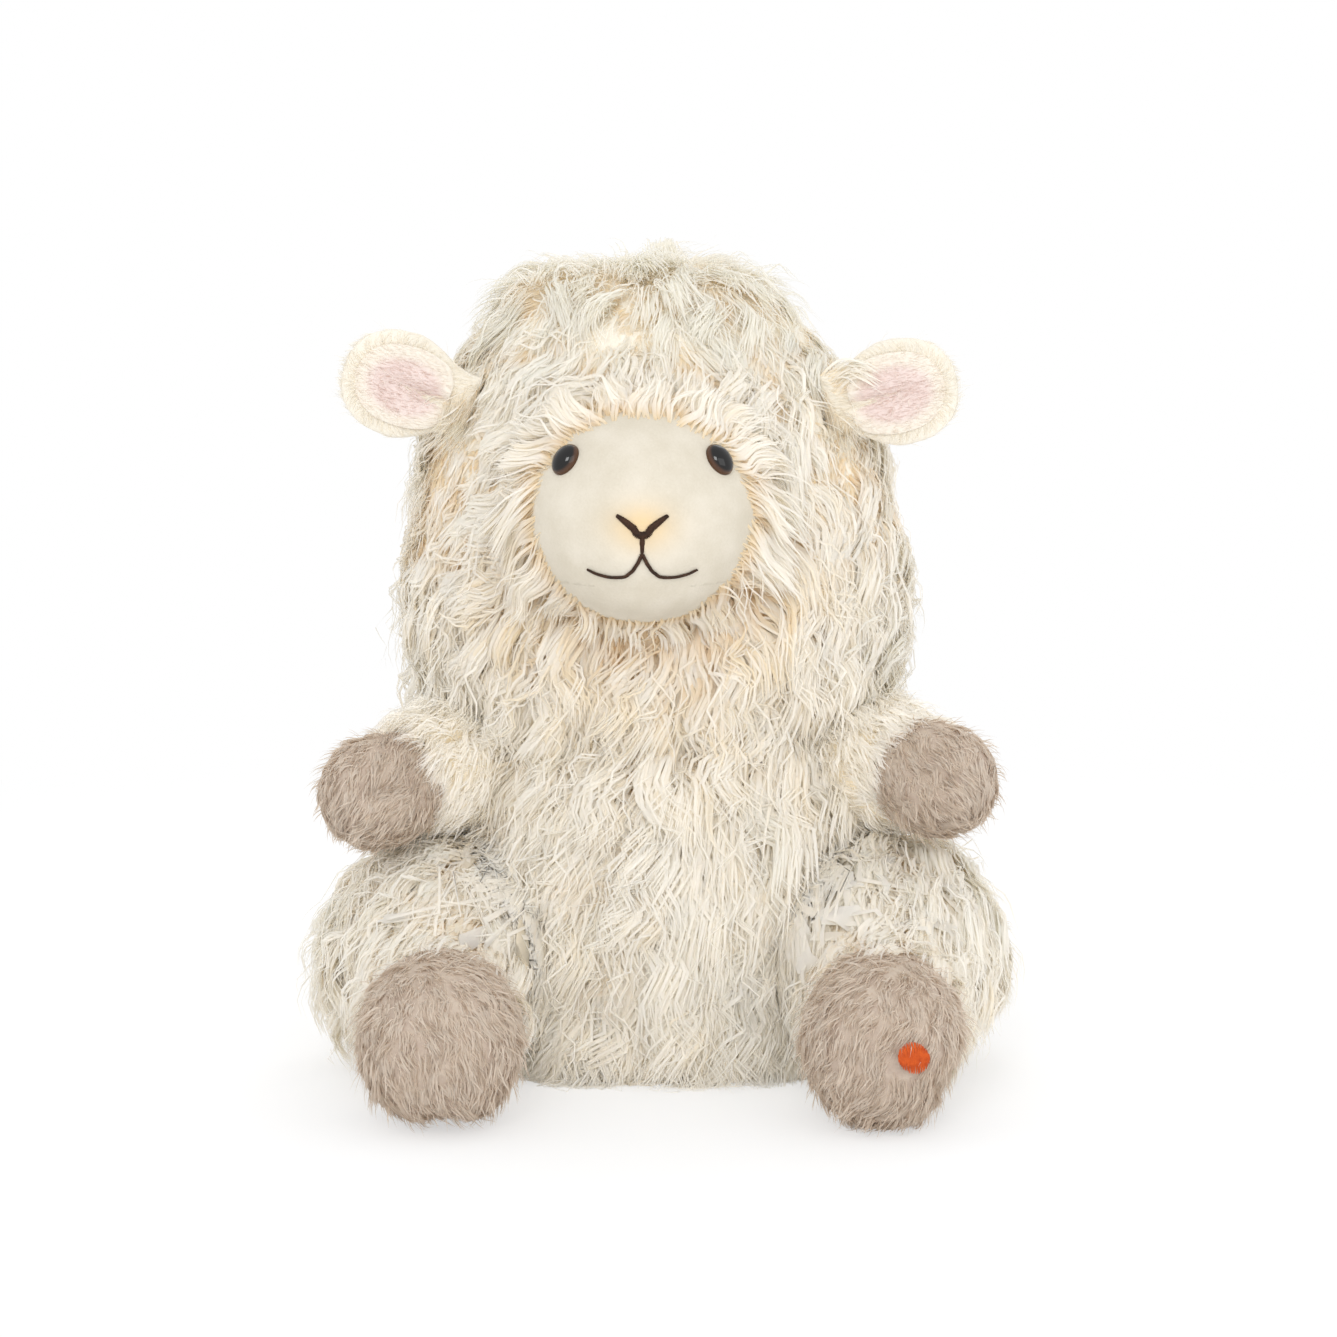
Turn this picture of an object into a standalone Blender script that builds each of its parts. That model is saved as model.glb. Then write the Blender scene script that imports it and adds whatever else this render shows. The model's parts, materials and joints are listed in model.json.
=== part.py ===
"""Seated plush sheep: a sewn toy of long-wool cloth with a smooth face, cloven paws and feet.

Each cover is a wall of cloth and pile with its real opening, and its filling is a solid of its own.
The wool's tips are left out: an outer surface stands where the mass of the pile ends.
The sheep faces -Y, +Z is up, and the origin is the centre of its flat seat, on the ground.
"Left" and "right" are the sheep's own sides, so left is +X.
"""

import math

import bmesh
import bpy
from mathutils import Matrix, Vector

MM = 0.001

# Clearances
GAP = 0.3 * MM
JOINT_PLAY = 1.2 * MM
SEAT_FLAT = 0.5 * MM
OVERRUN = 6 * MM

# Walls of cloth with its pile
WOOL_WALL = 8 * MM
WOOL_RELIEF = 3 * MM
FACE_WALL = 4 * MM
LIMB_WALL = 5 * MM

# Trunk: widest ellipse, and how far it lies ahead of the seat's centre
BODY_WIDTH = 148 * MM
BODY_DEPTH = 122 * MM
BODY_SHIFT = 3 * MM
SEAT_PANEL_WIDTH = 84 * MM
SEAT_PANEL_DEPTH = 74 * MM
POUCH_WIDTH = 66 * MM
POUCH_DEPTH = 58 * MM
POUCH_HEIGHT = 24 * MM
POUCH_SETBACK = 8 * MM

# Neck: the dome that the head sits on, and the wad inside it
NECK_DOME_RADIUS = 36 * MM
NECK_STEM_RADIUS = 14 * MM
NECK_RISE = 1 * MM
NECK_PLAY = 1 * MM
NECK_SETBACK = 4 * MM
HEAD_OFFSET = -1 * MM
NECK_MOUTH_DEG = 45
SHOULDER_FALL_DEG = 4
HOOD_RISE_DEG = 5

# Head hood
HEAD_WIDTH = 164 * MM
HEAD_DEPTH = 120 * MM
HEAD_HEIGHT = 138.5 * MM
HEAD_LEAN = -7 * MM
STEM_REACH = 8 * MM

# Face
FACE_WIDTH = 76 * MM
FACE_HEIGHT = 71 * MM
FACE_LIFT = 66 * MM
FACE_SHIFT = -5 * MM
FACE_DOME = 40 * MM
FACE_SLEEVE = 17 * MM
FACE_STAND_OUT = 36 * MM
MUZZLE_DROP = 5 * MM
CHIN_HEIGHT = 15 * MM

# Eyes, placed from the face's centre
EYE_WIDTH = 10 * MM
EYE_HEIGHT = 11.5 * MM
EYE_DOME = 3.5 * MM
EYE_SPREAD = 23.5 * MM
EYE_LIFT = 17.5 * MM
EYE_TILT_DEG = 14
SHANK_RADIUS = 1.5 * MM
WASHER_RADIUS = 4.5 * MM
WASHER_THICKNESS = 1.6 * MM
SHANK_TAIL = 3 * MM

# Embroidery, placed from the face's centre
THREAD_RADIUS = 0.95 * MM
NOSE_HALF_WIDTH = 7.6 * MM
NOSE_TOP = 2.2 * MM
NOSE_HEIGHT = 6.4 * MM
STEM_HEIGHT = 3.2 * MM
STITCH_GAP = 0.4 * MM
MOUTH_HALF_WIDTH = 16.5 * MM
MOUTH_DEPTH = 7 * MM

# Ears
EAR_LENGTH = 39 * MM
EAR_HEIGHT = 34 * MM
EAR_THICKNESS = 8 * MM
EAR_ROOT_HEIGHT = 20 * MM
EAR_LIFT = 96 * MM
EAR_FORWARD_DEG = 30
EAR_FOLD_DEG = 25
EAR_CUP = 5 * MM
LINING_THICKNESS = 3 * MM
LINING_MARGIN = 4 * MM
EAR_RISE_DEG = {"left": 12, "right": 19}

# Arms
ARM_BALL_RADIUS = 21 * MM
WRIST_RADIUS = 16.5 * MM
ARM_LENGTH = 48 * MM
SHOULDER_SPREAD = 60 * MM
SHOULDER_FORWARD = 6 * MM
ARM_CLEARANCE = 4 * MM
ARM_SWING_ROOM = 6 * MM
ARM_SPREAD_DEG = {"left": 36, "right": 40}
ARM_DROOP_DEG = {"left": 0, "right": 5}
PAW_RADIUS = 18 * MM
PAW_CLEFT = 5 * MM
PAW_CLEFT_DEG = {"left": 22.5, "right": 157.5}

# Legs
THIGH_RADIUS = 38 * MM
ANKLE_RADIUS = 24 * MM
LEG_LENGTH = 84 * MM
HIP_SINK = 3 * MM
HIP_FORWARD = 26 * MM
TOE_IN = 3 * MM
FOOT_RADIUS = 26 * MM
FOOT_CLEFT = 4 * MM
FOOT_CLEFT_DEG = {"left": 202.5, "right": 270}
LEG_SWING_ROOM = 4 * MM
DOT_RADIUS = 4.8 * MM
DOT_THICKNESS = 1.2 * MM
DOT_SPREAD = 8.4 * MM
DOT_LIFT = 5.5 * MM

# Tail
TAIL_BALL_RADIUS = 9 * MM
TAIL_RADIUS = 10.5 * MM
TAIL_LENGTH = 34 * MM
TAIL_LIFT = 52 * MM
TAIL_STAND_OUT = 3 * MM
TAIL_DROOP_DEG = 42

# Places worked out from the sizes above
HIP_X = BODY_WIDTH / 2 - HIP_SINK
HIP_Z = THIGH_RADIUS - SEAT_FLAT
HIP_TO_SHOULDER = THIGH_RADIUS + ARM_BALL_RADIUS + ARM_CLEARANCE
SHOULDER_STEP = Vector((HIP_X - SHOULDER_SPREAD, HIP_FORWARD - SHOULDER_FORWARD))
SHOULDER_Z = HIP_Z + math.sqrt(HIP_TO_SHOULDER**2 - SHOULDER_STEP.length_squared)
NECK = Vector((HEAD_OFFSET, NECK_SETBACK, SHOULDER_Z + ARM_BALL_RADIUS + NECK_RISE))
FACE = Vector((NECK.x + FACE_SHIFT, NECK.y - HEAD_DEPTH / 2 + (FACE_DOME - FACE_STAND_OUT), NECK.z + FACE_LIFT))
SIDES = {"left": 1, "right": -1}

# Outlines as shares of the sizes that they follow: height, half width, half depth
BODY_SHARES = (
    (0.00, 0.74, 0.76),
    (0.04, 0.87, 0.88),
    (0.14, 0.965, 0.97),
    (0.30, 1.00, 1.00),
    (0.50, 0.975, 0.975),
    (0.70, 0.91, 0.905),
    (0.88, 0.825, 0.81),
    (1.00, 0.70, 0.67),
)
HEAD_SHARES = (
    (0.00, 0.80, 0.82),
    (0.07, 0.92, 0.92),
    (0.17, 0.985, 0.985),
    (0.31, 1.01, 1.00),
    (0.46, 0.975, 0.98),
    (0.61, 0.91, 0.94),
    (0.75, 0.79, 0.86),
    (0.86, 0.665, 0.74),
    (0.94, 0.53, 0.60),
    (0.985, 0.34, 0.39),
)
FACE_SHARES = ((0.0, 1.0), (0.2, 0.985), (0.4, 0.93), (0.58, 0.835), (0.74, 0.70), (0.87, 0.515), (0.96, 0.30))
EYE_SHARES = ((0.0, 1.0), (0.35, 0.93), (0.7, 0.70), (0.92, 0.38))
POUCH_SHARES = ((0.0, 0.62), (0.12, 0.86), (0.4, 1.0), (0.65, 0.97), (0.88, 0.75))
EAR_SHARES = ((0.12, 0.64), (0.28, 0.86), (0.46, 1.0), (0.68, 0.96), (0.83, 0.80), (0.94, 0.53), (0.985, 0.28))
LINING_SHARES = ((0.0, 0.55), (0.15, 0.86), (0.40, 1.0), (0.65, 0.96), (0.85, 0.74), (0.96, 0.42))
TAIL_SHARES = ((0.35, 0.92), (0.55, 1.0), (0.75, 0.90), (0.92, 0.55))
SHOULDER_END_SHARE = 0.70
MOUTH_SHARES = ((1.0, 0.72), (0.78, 0.92), (0.56, 1.0), (0.38, 0.98), (0.24, 0.80), (0.11, 0.42), (0.0, 0.0))
EAR_TIP_THICKNESS_SHARE = 0.6
ARM_SHARES = ((0.42, 0.35), (0.60, 0.75), (0.70, 1.0))
PAW_SHARES = ((0.70, 0.92, 0.0), (0.82, 0.98, 0.25), (0.98, 1.0, 0.7), (1.14, 0.93, 1.0), (1.27, 0.72, 0.9), (1.35, 0.42, 0.4))
PAW_TIP_SHARE = 1.375
LEG_SHARES = ((0.22, 0.22), (0.42, 0.62), (0.60, 0.92), (0.72, 1.0))
FOOT_SHARES = ((0.72, 0.93, 0.0), (0.82, 0.985, 0.2), (0.95, 1.0, 0.6), (1.08, 0.96, 1.0), (1.19, 0.80, 0.9), (1.26, 0.52, 0.4))
FOOT_TIP_SHARE = 1.29
CLEFT_WIDTH_DEG = 24
BALL_ROWS = 4
BALL_ROW_DEG = 23
TAIL_ROW_DEG = 30
UPRIGHT_SHARE = 0.3

# Facets round each kind of piece
BODY_FACETS = 24
FACE_FACETS = 20
LIMB_FACETS = 16
HOOF_FACETS = 16
ROOM_FACETS = 16
HOLLOW_FACETS = 20
NECK_FACETS = 22
DOME_ROWS = 5
BODY_LOCK_ROWS = (2, 6)
HEAD_LOCK_ROWS = (3, 8)
KEPT_ROWS = 14
SMALL_FACETS = 12
THREAD_FACETS = 6


def clear_scene():
    """Removes what the file opened with."""
    for found in list(bpy.data.objects):
        bpy.data.objects.remove(found)


def material(name, colour, roughness):
    """A Principled material in one of the toy's colours."""
    made = bpy.data.materials.new(name)
    made.use_nodes = True
    shader = made.node_tree.nodes["Principled BSDF"]
    shader.inputs["Base Color"].default_value = (*colour, 1.0)
    shader.inputs["Roughness"].default_value = roughness
    shader.inputs["Metallic"].default_value = 0.0
    made.diffuse_color = (*colour, 1.0)
    return made


def ring(centre, across, along, facets, shape=None, turn=0.0):
    """Points of an ellipse round a centre, whose half axes are across and along, turned by a share of a facet."""
    points = []
    for i in range(facets):
        angle = 2 * math.pi * (i + turn) / facets
        reach = shape(angle) if shape else 1
        points.append(centre + (across * math.cos(angle) + along * math.sin(angle)) * reach)
    return points


def flat_ring(centre, half_width, half_depth, facets=BODY_FACETS):
    """A level ring."""
    return ring(centre, Vector((half_width, 0, 0)), Vector((0, half_depth, 0)), facets)


def skin(name, rings, closed=False):
    """A closed body over rings of points, from a pole to a pole, or round again if closed."""
    bm = bmesh.new()
    rows = [[bm.verts.new(point) for point in points] for points in rings]
    pairs = list(zip(rows, rows[1:]))
    if closed:
        pairs.append((rows[-1], rows[0]))
    for low, high in pairs:
        count = max(len(low), len(high))
        for i in range(count):
            j = (i + 1) % count
            corners = [low[i % len(low)], low[j % len(low)], high[j % len(high)], high[i % len(high)]]
            bm.faces.new(dict.fromkeys(corners))
    bmesh.ops.recalc_face_normals(bm, faces=bm.faces)
    mesh = bpy.data.meshes.new(name)
    bm.to_mesh(mesh)
    bm.free()
    mesh.shade_smooth()
    mesh.set_sharp_from_angle(angle=math.radians(50))
    made = bpy.data.objects.new(name, mesh)
    bpy.context.scene.collection.objects.link(made)
    return made


def piece(name, rings, finish, closed=False):
    """A named piece of the toy in its material."""
    made = skin(name, rings, closed)
    made.data.materials.append(finish)
    return made


def tool(name, rings):
    """A hidden body that cuts or joins others."""
    made = skin("tool_" + name, rings)
    made.hide_render = True
    made.display_type = "WIRE"
    return made


def combine(target, other, operation):
    """Adds an exact Boolean of the target with another body."""
    made = target.modifiers.new(operation.lower() + "_" + other.name, "BOOLEAN")
    made.operation = operation
    made.solver = "EXACT"
    made.object = other


def cut(target, *others):
    """Cuts each of the other bodies out of the target."""
    for other in others:
        combine(target, other, "DIFFERENCE")


def ball_rings(centre, radius, facets=ROOM_FACETS, rows=9):
    """The rings of a whole ball."""
    made = [[centre - Vector((0, 0, radius))]]
    for i in range(1, rows):
        angle = math.pi * i / rows - math.pi / 2
        level = centre + Vector((0, 0, radius * math.sin(angle)))
        made.append(flat_ring(level, radius * math.cos(angle), radius * math.cos(angle), facets))
    return made + [[centre + Vector((0, 0, radius))]]


def dome_rings(radius, start_deg, end_deg, rows, facets=BODY_FACETS):
    """Level rings on a sphere round the neck's centre, between two heights given as angles."""
    made = []
    for i in range(rows):
        angle = math.radians(start_deg + (end_deg - start_deg) * i / (rows - 1))
        reach = radius * math.cos(angle)
        made.append(flat_ring(NECK + Vector((0, 0, radius * math.sin(angle))), reach, reach, facets))
    return made


def cylinder_rings(start, end, radius, facets=SMALL_FACETS):
    """The rings of a cylinder between two points."""
    across, along = side_axes((end - start).normalized())
    return [[start], ring(start, across * radius, along * radius, facets), ring(end, across * radius, along * radius, facets), [end]]


def side_axes(direction):
    """Two axes square to a direction, the second as upright as it can be."""
    upright = Vector((0, 0, 1)) if direction.xy.length > UPRIGHT_SHARE * abs(direction.z) else Vector((0, 1, 0))
    across = direction.cross(upright).normalized()
    return across, across.cross(direction).normalized()


def in_locks(rings, rows):
    """Rings whose every other point is drawn in between two rows, as the hollows between the locks of the wool."""
    made = []
    for row, points in enumerate(rings):
        centre = sum(points, Vector()) / len(points)
        drawn = []
        for i, point in enumerate(points):
            hollow = rows[0] <= row <= rows[1] and (row + i) % 2
            drawn.append(point - (point - centre).normalized() * WOOL_RELIEF if hollow else point)
        made.append(drawn)
    return made


def body_centre(height):
    """The middle of the trunk at a height: it leans forward at the belly and meets the neck on top."""
    share = height / (NECK.z if NECK.z else 1)
    return Vector((NECK.x * share**2, -BODY_SHIFT + (NECK.y + BODY_SHIFT) * share**2, height))


def body_rings(inset, grow=0.0):
    """The trunk's side, from its foot to its shoulder line."""
    half_width = BODY_WIDTH / 2 + grow - inset
    half_depth = BODY_DEPTH / 2 + grow - inset
    reach = BODY_WIDTH / 2 * SHOULDER_END_SHARE
    top = NECK.z - reach * math.tan(math.radians(SHOULDER_FALL_DEG)) - inset
    made = []
    for height, width, depth in BODY_SHARES:
        level = inset + (top - inset) * height
        across = half_width - BODY_WIDTH / 2 * (1 - width)
        along = half_depth - BODY_DEPTH / 2 * (1 - depth)
        made.append(flat_ring(body_centre(level), across, along))
    return made


def body_shell(finish):
    """The wool cloth of the trunk, open at the neck."""
    inner_dome = NECK_DOME_RADIUS - WOOL_WALL
    outer = in_locks(body_rings(0.0), BODY_LOCK_ROWS)
    inner = body_rings(WOOL_WALL)
    dome = dome_rings(NECK_DOME_RADIUS, -SHOULDER_FALL_DEG, NECK_MOUTH_DEG, DOME_ROWS)
    inside = dome_rings(inner_dome, -2 * SHOULDER_FALL_DEG, NECK_MOUTH_DEG, DOME_ROWS)
    foot = [[body_centre(0.0)]]
    floor = [[body_centre(WOOL_WALL)]]
    made = piece("body_cover", foot + outer + dome + inside[::-1] + inner[::-1] + floor, finish)
    cut(made, tool("seat_hole", seat_panel_rings(GAP, OVERRUN)))
    return made


def seat_panel_rings(grow, overrun):
    """The oval panel under the seat, or the hole that it fills."""
    low = Vector((0, 0, -overrun))
    high = Vector((0, 0, WOOL_WALL + overrun))
    across = SEAT_PANEL_WIDTH / 2 + grow
    along = SEAT_PANEL_DEPTH / 2 + grow
    return [[low], flat_ring(low, across, along), flat_ring(high, across, along), [high]]


def pouch_rings(grow, sink):
    """The pellet pouch, or the space that it takes in the filling, deepened by sink."""
    foot = WOOL_WALL + GAP
    centre = Vector((0, POUCH_SETBACK, foot - sink))
    made = [[centre]]
    for height, reach in POUCH_SHARES:
        level = Vector((0, POUCH_SETBACK, foot + POUCH_HEIGHT * height))
        if not height:
            level.z -= sink
        made.append(flat_ring(level, POUCH_WIDTH / 2 * reach + grow, POUCH_DEPTH / 2 * reach + grow, LIMB_FACETS))
    return made + [[Vector((0, POUCH_SETBACK, foot + POUCH_HEIGHT + grow))]]


def make_trunk(wool, panel, pouch, fibre):
    """The trunk's cover, seat panel, pellet pouch and filling. Returns the first and last, which the limbs cut."""
    cover = body_shell(wool)
    piece("base_panel", seat_panel_rings(0.0, 0.0), panel)
    piece("bean_pouch", pouch_rings(0.0, 0.0), pouch)
    inset = WOOL_WALL + GAP
    top = NECK + Vector((0, 0, 0))
    filling = body_rings(inset)
    rings = [[body_centre(inset)]] + filling + [[Vector((top.x, top.y, filling[-1][0].z))]]
    stuffing = piece("body_stuffing", rings, fibre)
    socket = tool("neck_socket", ball_rings(NECK, NECK_DOME_RADIUS - WOOL_WALL + JOINT_PLAY))
    cut(stuffing, socket, tool("pouch_room", pouch_rings(GAP, WOOL_WALL)))
    return cover, stuffing


def make_neck(fibre):
    """The wad in the neck: a ball inside the trunk's dome, and a stem up into the head."""
    row = math.radians((NECK_MOUTH_DEG + 2 * SHOULDER_FALL_DEG) / (DOME_ROWS - 1) / 2)
    radius = (NECK_DOME_RADIUS - WOOL_WALL) * math.cos(row) * math.cos(math.pi / BODY_FACETS) - GAP
    start = -90
    end = math.degrees(math.acos(NECK_STEM_RADIUS / radius))
    rows = 8
    rings = dome_rings(radius, start + (end - start) / rows, end, rows, LIMB_FACETS)
    top = NECK + Vector((0, 0, NECK_DOME_RADIUS + GAP + WOOL_WALL + STEM_REACH))
    rings.append(flat_ring(top, NECK_STEM_RADIUS, NECK_STEM_RADIUS, LIMB_FACETS))
    piece("neck_stuffing", [[NECK - Vector((0, 0, radius))]] + rings + [[top]], fibre)


def head_base():
    """The height where the hood's outline starts, inside the neck."""
    return NECK.z + NECK_RISE


def head_half_sizes(height):
    """The hood's half width and half depth at a height, read between its rings."""
    share = (height - head_base()) / HEAD_HEIGHT
    for low, high in zip(HEAD_SHARES, HEAD_SHARES[1:]):
        if low[0] <= share <= high[0]:
            part = (share - low[0]) / (high[0] - low[0])
            width = low[1] + (high[1] - low[1]) * part
            depth = low[2] + (high[2] - low[2]) * part
            return HEAD_WIDTH / 2 * width, HEAD_DEPTH / 2 * depth
    return HEAD_WIDTH / 2 * HEAD_SHARES[0][1], HEAD_DEPTH / 2 * HEAD_SHARES[0][2]


def head_rings(inset, facets=BODY_FACETS):
    """The hood's whole outline, closed at the top and the bottom."""
    low = Vector((NECK.x, NECK.y, head_base() + inset))
    rise = HEAD_HEIGHT - 2 * inset
    made = [[low]]
    for height, width, depth in HEAD_SHARES:
        level = low + Vector((HEAD_LEAN * height**2, 0, rise * height))
        shrink = (HEAD_HEIGHT - 2 * inset) / HEAD_HEIGHT
        half_width = (HEAD_WIDTH / 2 * width) * shrink if width < 0.6 else HEAD_WIDTH / 2 * width - inset
        half_depth = (HEAD_DEPTH / 2 * depth) * shrink if width < 0.6 else HEAD_DEPTH / 2 * depth - inset
        made.append(flat_ring(level, half_width, half_depth, facets))
    return made + [[low + Vector((HEAD_LEAN, 0, rise))]]


def neck_room_rings(grow):
    """All that the hood leaves free for the trunk's dome and shoulders, grown by a wall."""
    radius = NECK_DOME_RADIUS + grow
    lift = Vector((0, 0, grow - NECK_PLAY))
    rise = math.radians(HOOD_RISE_DEG)
    far = HEAD_WIDTH / 2 + OVERRUN
    rim = NECK + Vector((0, 0, far * math.tan(rise))) + lift
    deep = NECK - Vector((0, 0, NECK_DOME_RADIUS + OVERRUN))
    start = math.degrees(math.asin(min(1, (radius * math.sin(rise) + lift.z) / radius)))
    rings = [[deep], flat_ring(deep, far, far, NECK_FACETS), flat_ring(rim, far, far, NECK_FACETS)]
    rings += dome_rings(radius, start, 80, 5, NECK_FACETS)
    return rings + [[NECK + Vector((0, 0, radius))]]


def face_centre(share):
    """The middle of the face's outline at a share of its dome: the muzzle sinks as it comes forward."""
    return FACE - Vector((0, FACE_DOME * share, MUZZLE_DROP * share**2))


def face_ring(centre, half_width, half_height):
    """An upright ring facing the front."""
    return ring(centre, Vector((half_width, 0, 0)), Vector((0, 0, half_height)), FACE_FACETS)


def face_rings(inset, sleeve):
    """The face's outer or inner surface, from its rim in the hood to the muzzle's tip."""
    half_width = FACE_WIDTH / 2 - inset
    half_height = FACE_HEIGHT / 2 - inset
    made = [face_ring(FACE + Vector((0, sleeve, 0)), half_width, half_height)]
    for share, reach in FACE_SHARES:
        step = Vector((0, inset * share, 0))
        made.append(face_ring(face_centre(share) + step, half_width * reach, half_height * reach))
    return made + [[face_centre(1.0) + Vector((0, inset, 0))]]


def face_share_at(x, z):
    """The share of the dome's depth at which the face's outline passes through a point seen from the front."""
    low, high = 0.0, 1.0
    for _ in range(40):
        share = (low + high) / 2
        centre = face_centre(share)
        reach = face_reach(share)
        inside = math.hypot((x - centre.x) / (FACE_WIDTH / 2), (z - centre.z) / (FACE_HEIGHT / 2)) < reach
        low, high = (share, high) if inside else (low, share)
    return (low + high) / 2


def face_reach(share):
    """The share of the face's half width that is left at a share of the dome's depth."""
    table = FACE_SHARES + ((1.0, 0.0),)
    for low, high in zip(table, table[1:]):
        if share <= high[0]:
            return low[1] + (high[1] - low[1]) * (share - low[0]) / (high[0] - low[0])
    return 0.0


def face_point(across, up):
    """A point on the face, and the way out of it there, from a place given from the face's centre."""
    x, z = FACE.x + across, FACE.z + up

    def on_face(px, pz):
        return Vector((px, FACE.y - FACE_DOME * face_share_at(px, pz), pz))

    point = on_face(x, z)
    step = EYE_WIDTH / 4
    sideways = on_face(x + step, z) - on_face(x - step, z)
    upwards = on_face(x, z + step) - on_face(x, z - step)
    return point, sideways.cross(upwards).normalized()


def make_head(wool, plush, fibre):
    """The hood, the smooth face with its chin, and the filling. Returns the hood and the filling."""
    hood = piece("head_cover", in_locks(head_rings(0.0), HEAD_LOCK_ROWS), wool)
    hollow = tool("head_hollow", head_rings(WOOL_WALL, HOLLOW_FACETS))
    cut(hollow, tool("hollow_neck", neck_room_rings(NECK_PLAY + WOOL_WALL)))
    ends = [FACE + Vector((0, FACE_SLEEVE + GAP, 0)), FACE - Vector((0, FACE_DOME, 0))]
    half_width, half_height = FACE_WIDTH / 2 + GAP, FACE_HEIGHT / 2 + GAP
    rings = [face_ring(end, half_width, half_height) for end in ends]
    window = tool("face_window", [[ends[0]]] + rings + [[ends[1]]])
    stem_top = NECK + Vector((0, 0, NECK_DOME_RADIUS + WOOL_WALL + STEM_REACH + 2 * GAP))
    stem = tool("stem_hole", cylinder_rings(NECK, stem_top, NECK_STEM_RADIUS + GAP, LIMB_FACETS))
    cut(hood, hollow, tool("neck_room", neck_room_rings(NECK_PLAY)), window, stem)

    filling = piece("head_stuffing", head_rings(WOOL_WALL + GAP, HOLLOW_FACETS), fibre)
    back = FACE_SLEEVE + OVERRUN
    bulge = [[FACE + Vector((0, back, 0))]] + face_rings(FACE_WALL + GAP, back)
    cut(filling, window)
    combine(filling, tool("face_filling", bulge), "UNION")
    cut(filling, tool("filling_neck", neck_room_rings(NECK_PLAY + WOOL_WALL + GAP)), stem)
    make_face(plush)
    return hood, filling


def make_face(plush):
    """The face cloth as a dome open at the back, cut into a face panel and a chin panel."""
    seam = FACE.z - FACE_HEIGHT / 2 + CHIN_HEIGHT
    for name, operation, lift in (("face_panel", "DIFFERENCE", 0.5), ("chin_panel", "INTERSECT", -0.5)):
        rings = face_rings(0.0, FACE_SLEEVE)[::-1] + face_rings(FACE_WALL, FACE_SLEEVE)
        half = piece(name, rings, plush)
        level = seam + GAP * lift
        below = FACE.z - FACE_HEIGHT
        reach = FACE_WIDTH
        corners = [Vector((FACE.x + sx * reach, FACE.y + sy * reach, 0)) for sx, sy in ((-1, -1), (1, -1), (1, 1), (-1, 1))]
        rows = [[Vector((c.x, c.y, height)) for c in corners] for height in (below, level)]
        middle = [Vector((FACE.x, FACE.y, height)) for height in (below, level)]
        box = tool(name + "_seam", [[middle[0]]] + rows + [[middle[1]]])
        combine(half, box, operation)


def make_eye(side, sign, gloss, nylon, cloths):
    """A safety eye with its shank, and the washer that locks it behind the face cloth."""
    point, outwards = face_point(sign * EYE_SPREAD, EYE_LIFT)
    across, along = side_axes(outwards)
    tilt = Matrix.Rotation(math.radians(sign * EYE_TILT_DEG), 3, outwards)
    across, along = tilt @ across, tilt @ along
    seat = point + outwards * GAP
    washer_top = point - outwards * (FACE_WALL + JOINT_PLAY)
    washer_foot = washer_top - outwards * WASHER_THICKNESS
    tip = washer_foot - outwards * SHANK_TAIL
    rings = [[tip]]
    for level in (tip, seat):
        rings.append(ring(level, across * SHANK_RADIUS, along * SHANK_RADIUS, SMALL_FACETS))
    for height, reach in EYE_SHARES:
        level = seat + outwards * EYE_DOME * height
        rings.append(ring(level, across * EYE_WIDTH / 2 * reach, along * EYE_HEIGHT / 2 * reach, SMALL_FACETS))
    rings.append([seat + outwards * EYE_DOME])
    piece("eye_" + side, rings, gloss)
    bore = SHANK_RADIUS + GAP
    washer = [
        ring(level, across * reach, along * reach, SMALL_FACETS)
        for level, reach in ((washer_top, bore), (washer_top, WASHER_RADIUS), (washer_foot, WASHER_RADIUS), (washer_foot, bore))
    ]
    piece("eye_washer_" + side, washer, nylon, closed=True)
    hole = tool("shank_hole_" + side, cylinder_rings(tip, point + outwards * OVERRUN, bore))
    pocket_top = point - outwards * GAP
    pocket = tool("washer_room_" + side, cylinder_rings(tip - outwards * GAP, pocket_top, WASHER_RADIUS + GAP))
    cut(cloths["face_panel"], hole)
    cut(cloths["head_stuffing"], pocket)


def thread_rings(places, taper=True):
    """A stitched line over the face through places given from the face's centre, thinner at its ends."""
    lift = THREAD_RADIUS + GAP
    points = []
    for across, up in places:
        point, outwards = face_point(across, up)
        points.append((point + outwards * lift, outwards))
    made = []
    last = len(points) - 1
    for i, (point, outwards) in enumerate(points):
        ahead = points[min(i + 1, last)][0] - points[max(i - 1, 0)][0]
        side = ahead.cross(outwards).normalized()
        radius = THREAD_RADIUS * (0.55 if taper and i in (0, last) else 1)
        made.append(ring(point, side * radius, outwards * radius, THREAD_FACETS))
    return [[points[0][0]]] + made + [[points[-1][0]]]


def make_embroidery(thread):
    """The nose as a V on a stem, and the mouth as two shallow curves that meet below the stem."""
    foot = NOSE_TOP - NOSE_HEIGHT
    wing = [(-NOSE_HALF_WIDTH * share, foot + NOSE_HEIGHT * share**0.8) for share in (1, 0.7, 0.35, 0)]
    nose = piece("nose_stitching", thread_rings(wing + [(-x, z) for x, z in wing[-2::-1]]), thread)
    stem = [(0, foot + STITCH_GAP), (0, foot - STEM_HEIGHT / 2), (0, foot - STEM_HEIGHT)]
    combine(nose, tool("nose_stem", thread_rings(stem, taper=False)), "UNION")
    top = foot - STEM_HEIGHT - 2 * THREAD_RADIUS - STITCH_GAP
    half = [(-MOUTH_HALF_WIDTH * share, top - MOUTH_DEPTH * drop) for share, drop in MOUTH_SHARES]
    piece("mouth_stitching", thread_rings(half + [(-x, z) for x, z in half[-2::-1]]), thread)


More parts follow.
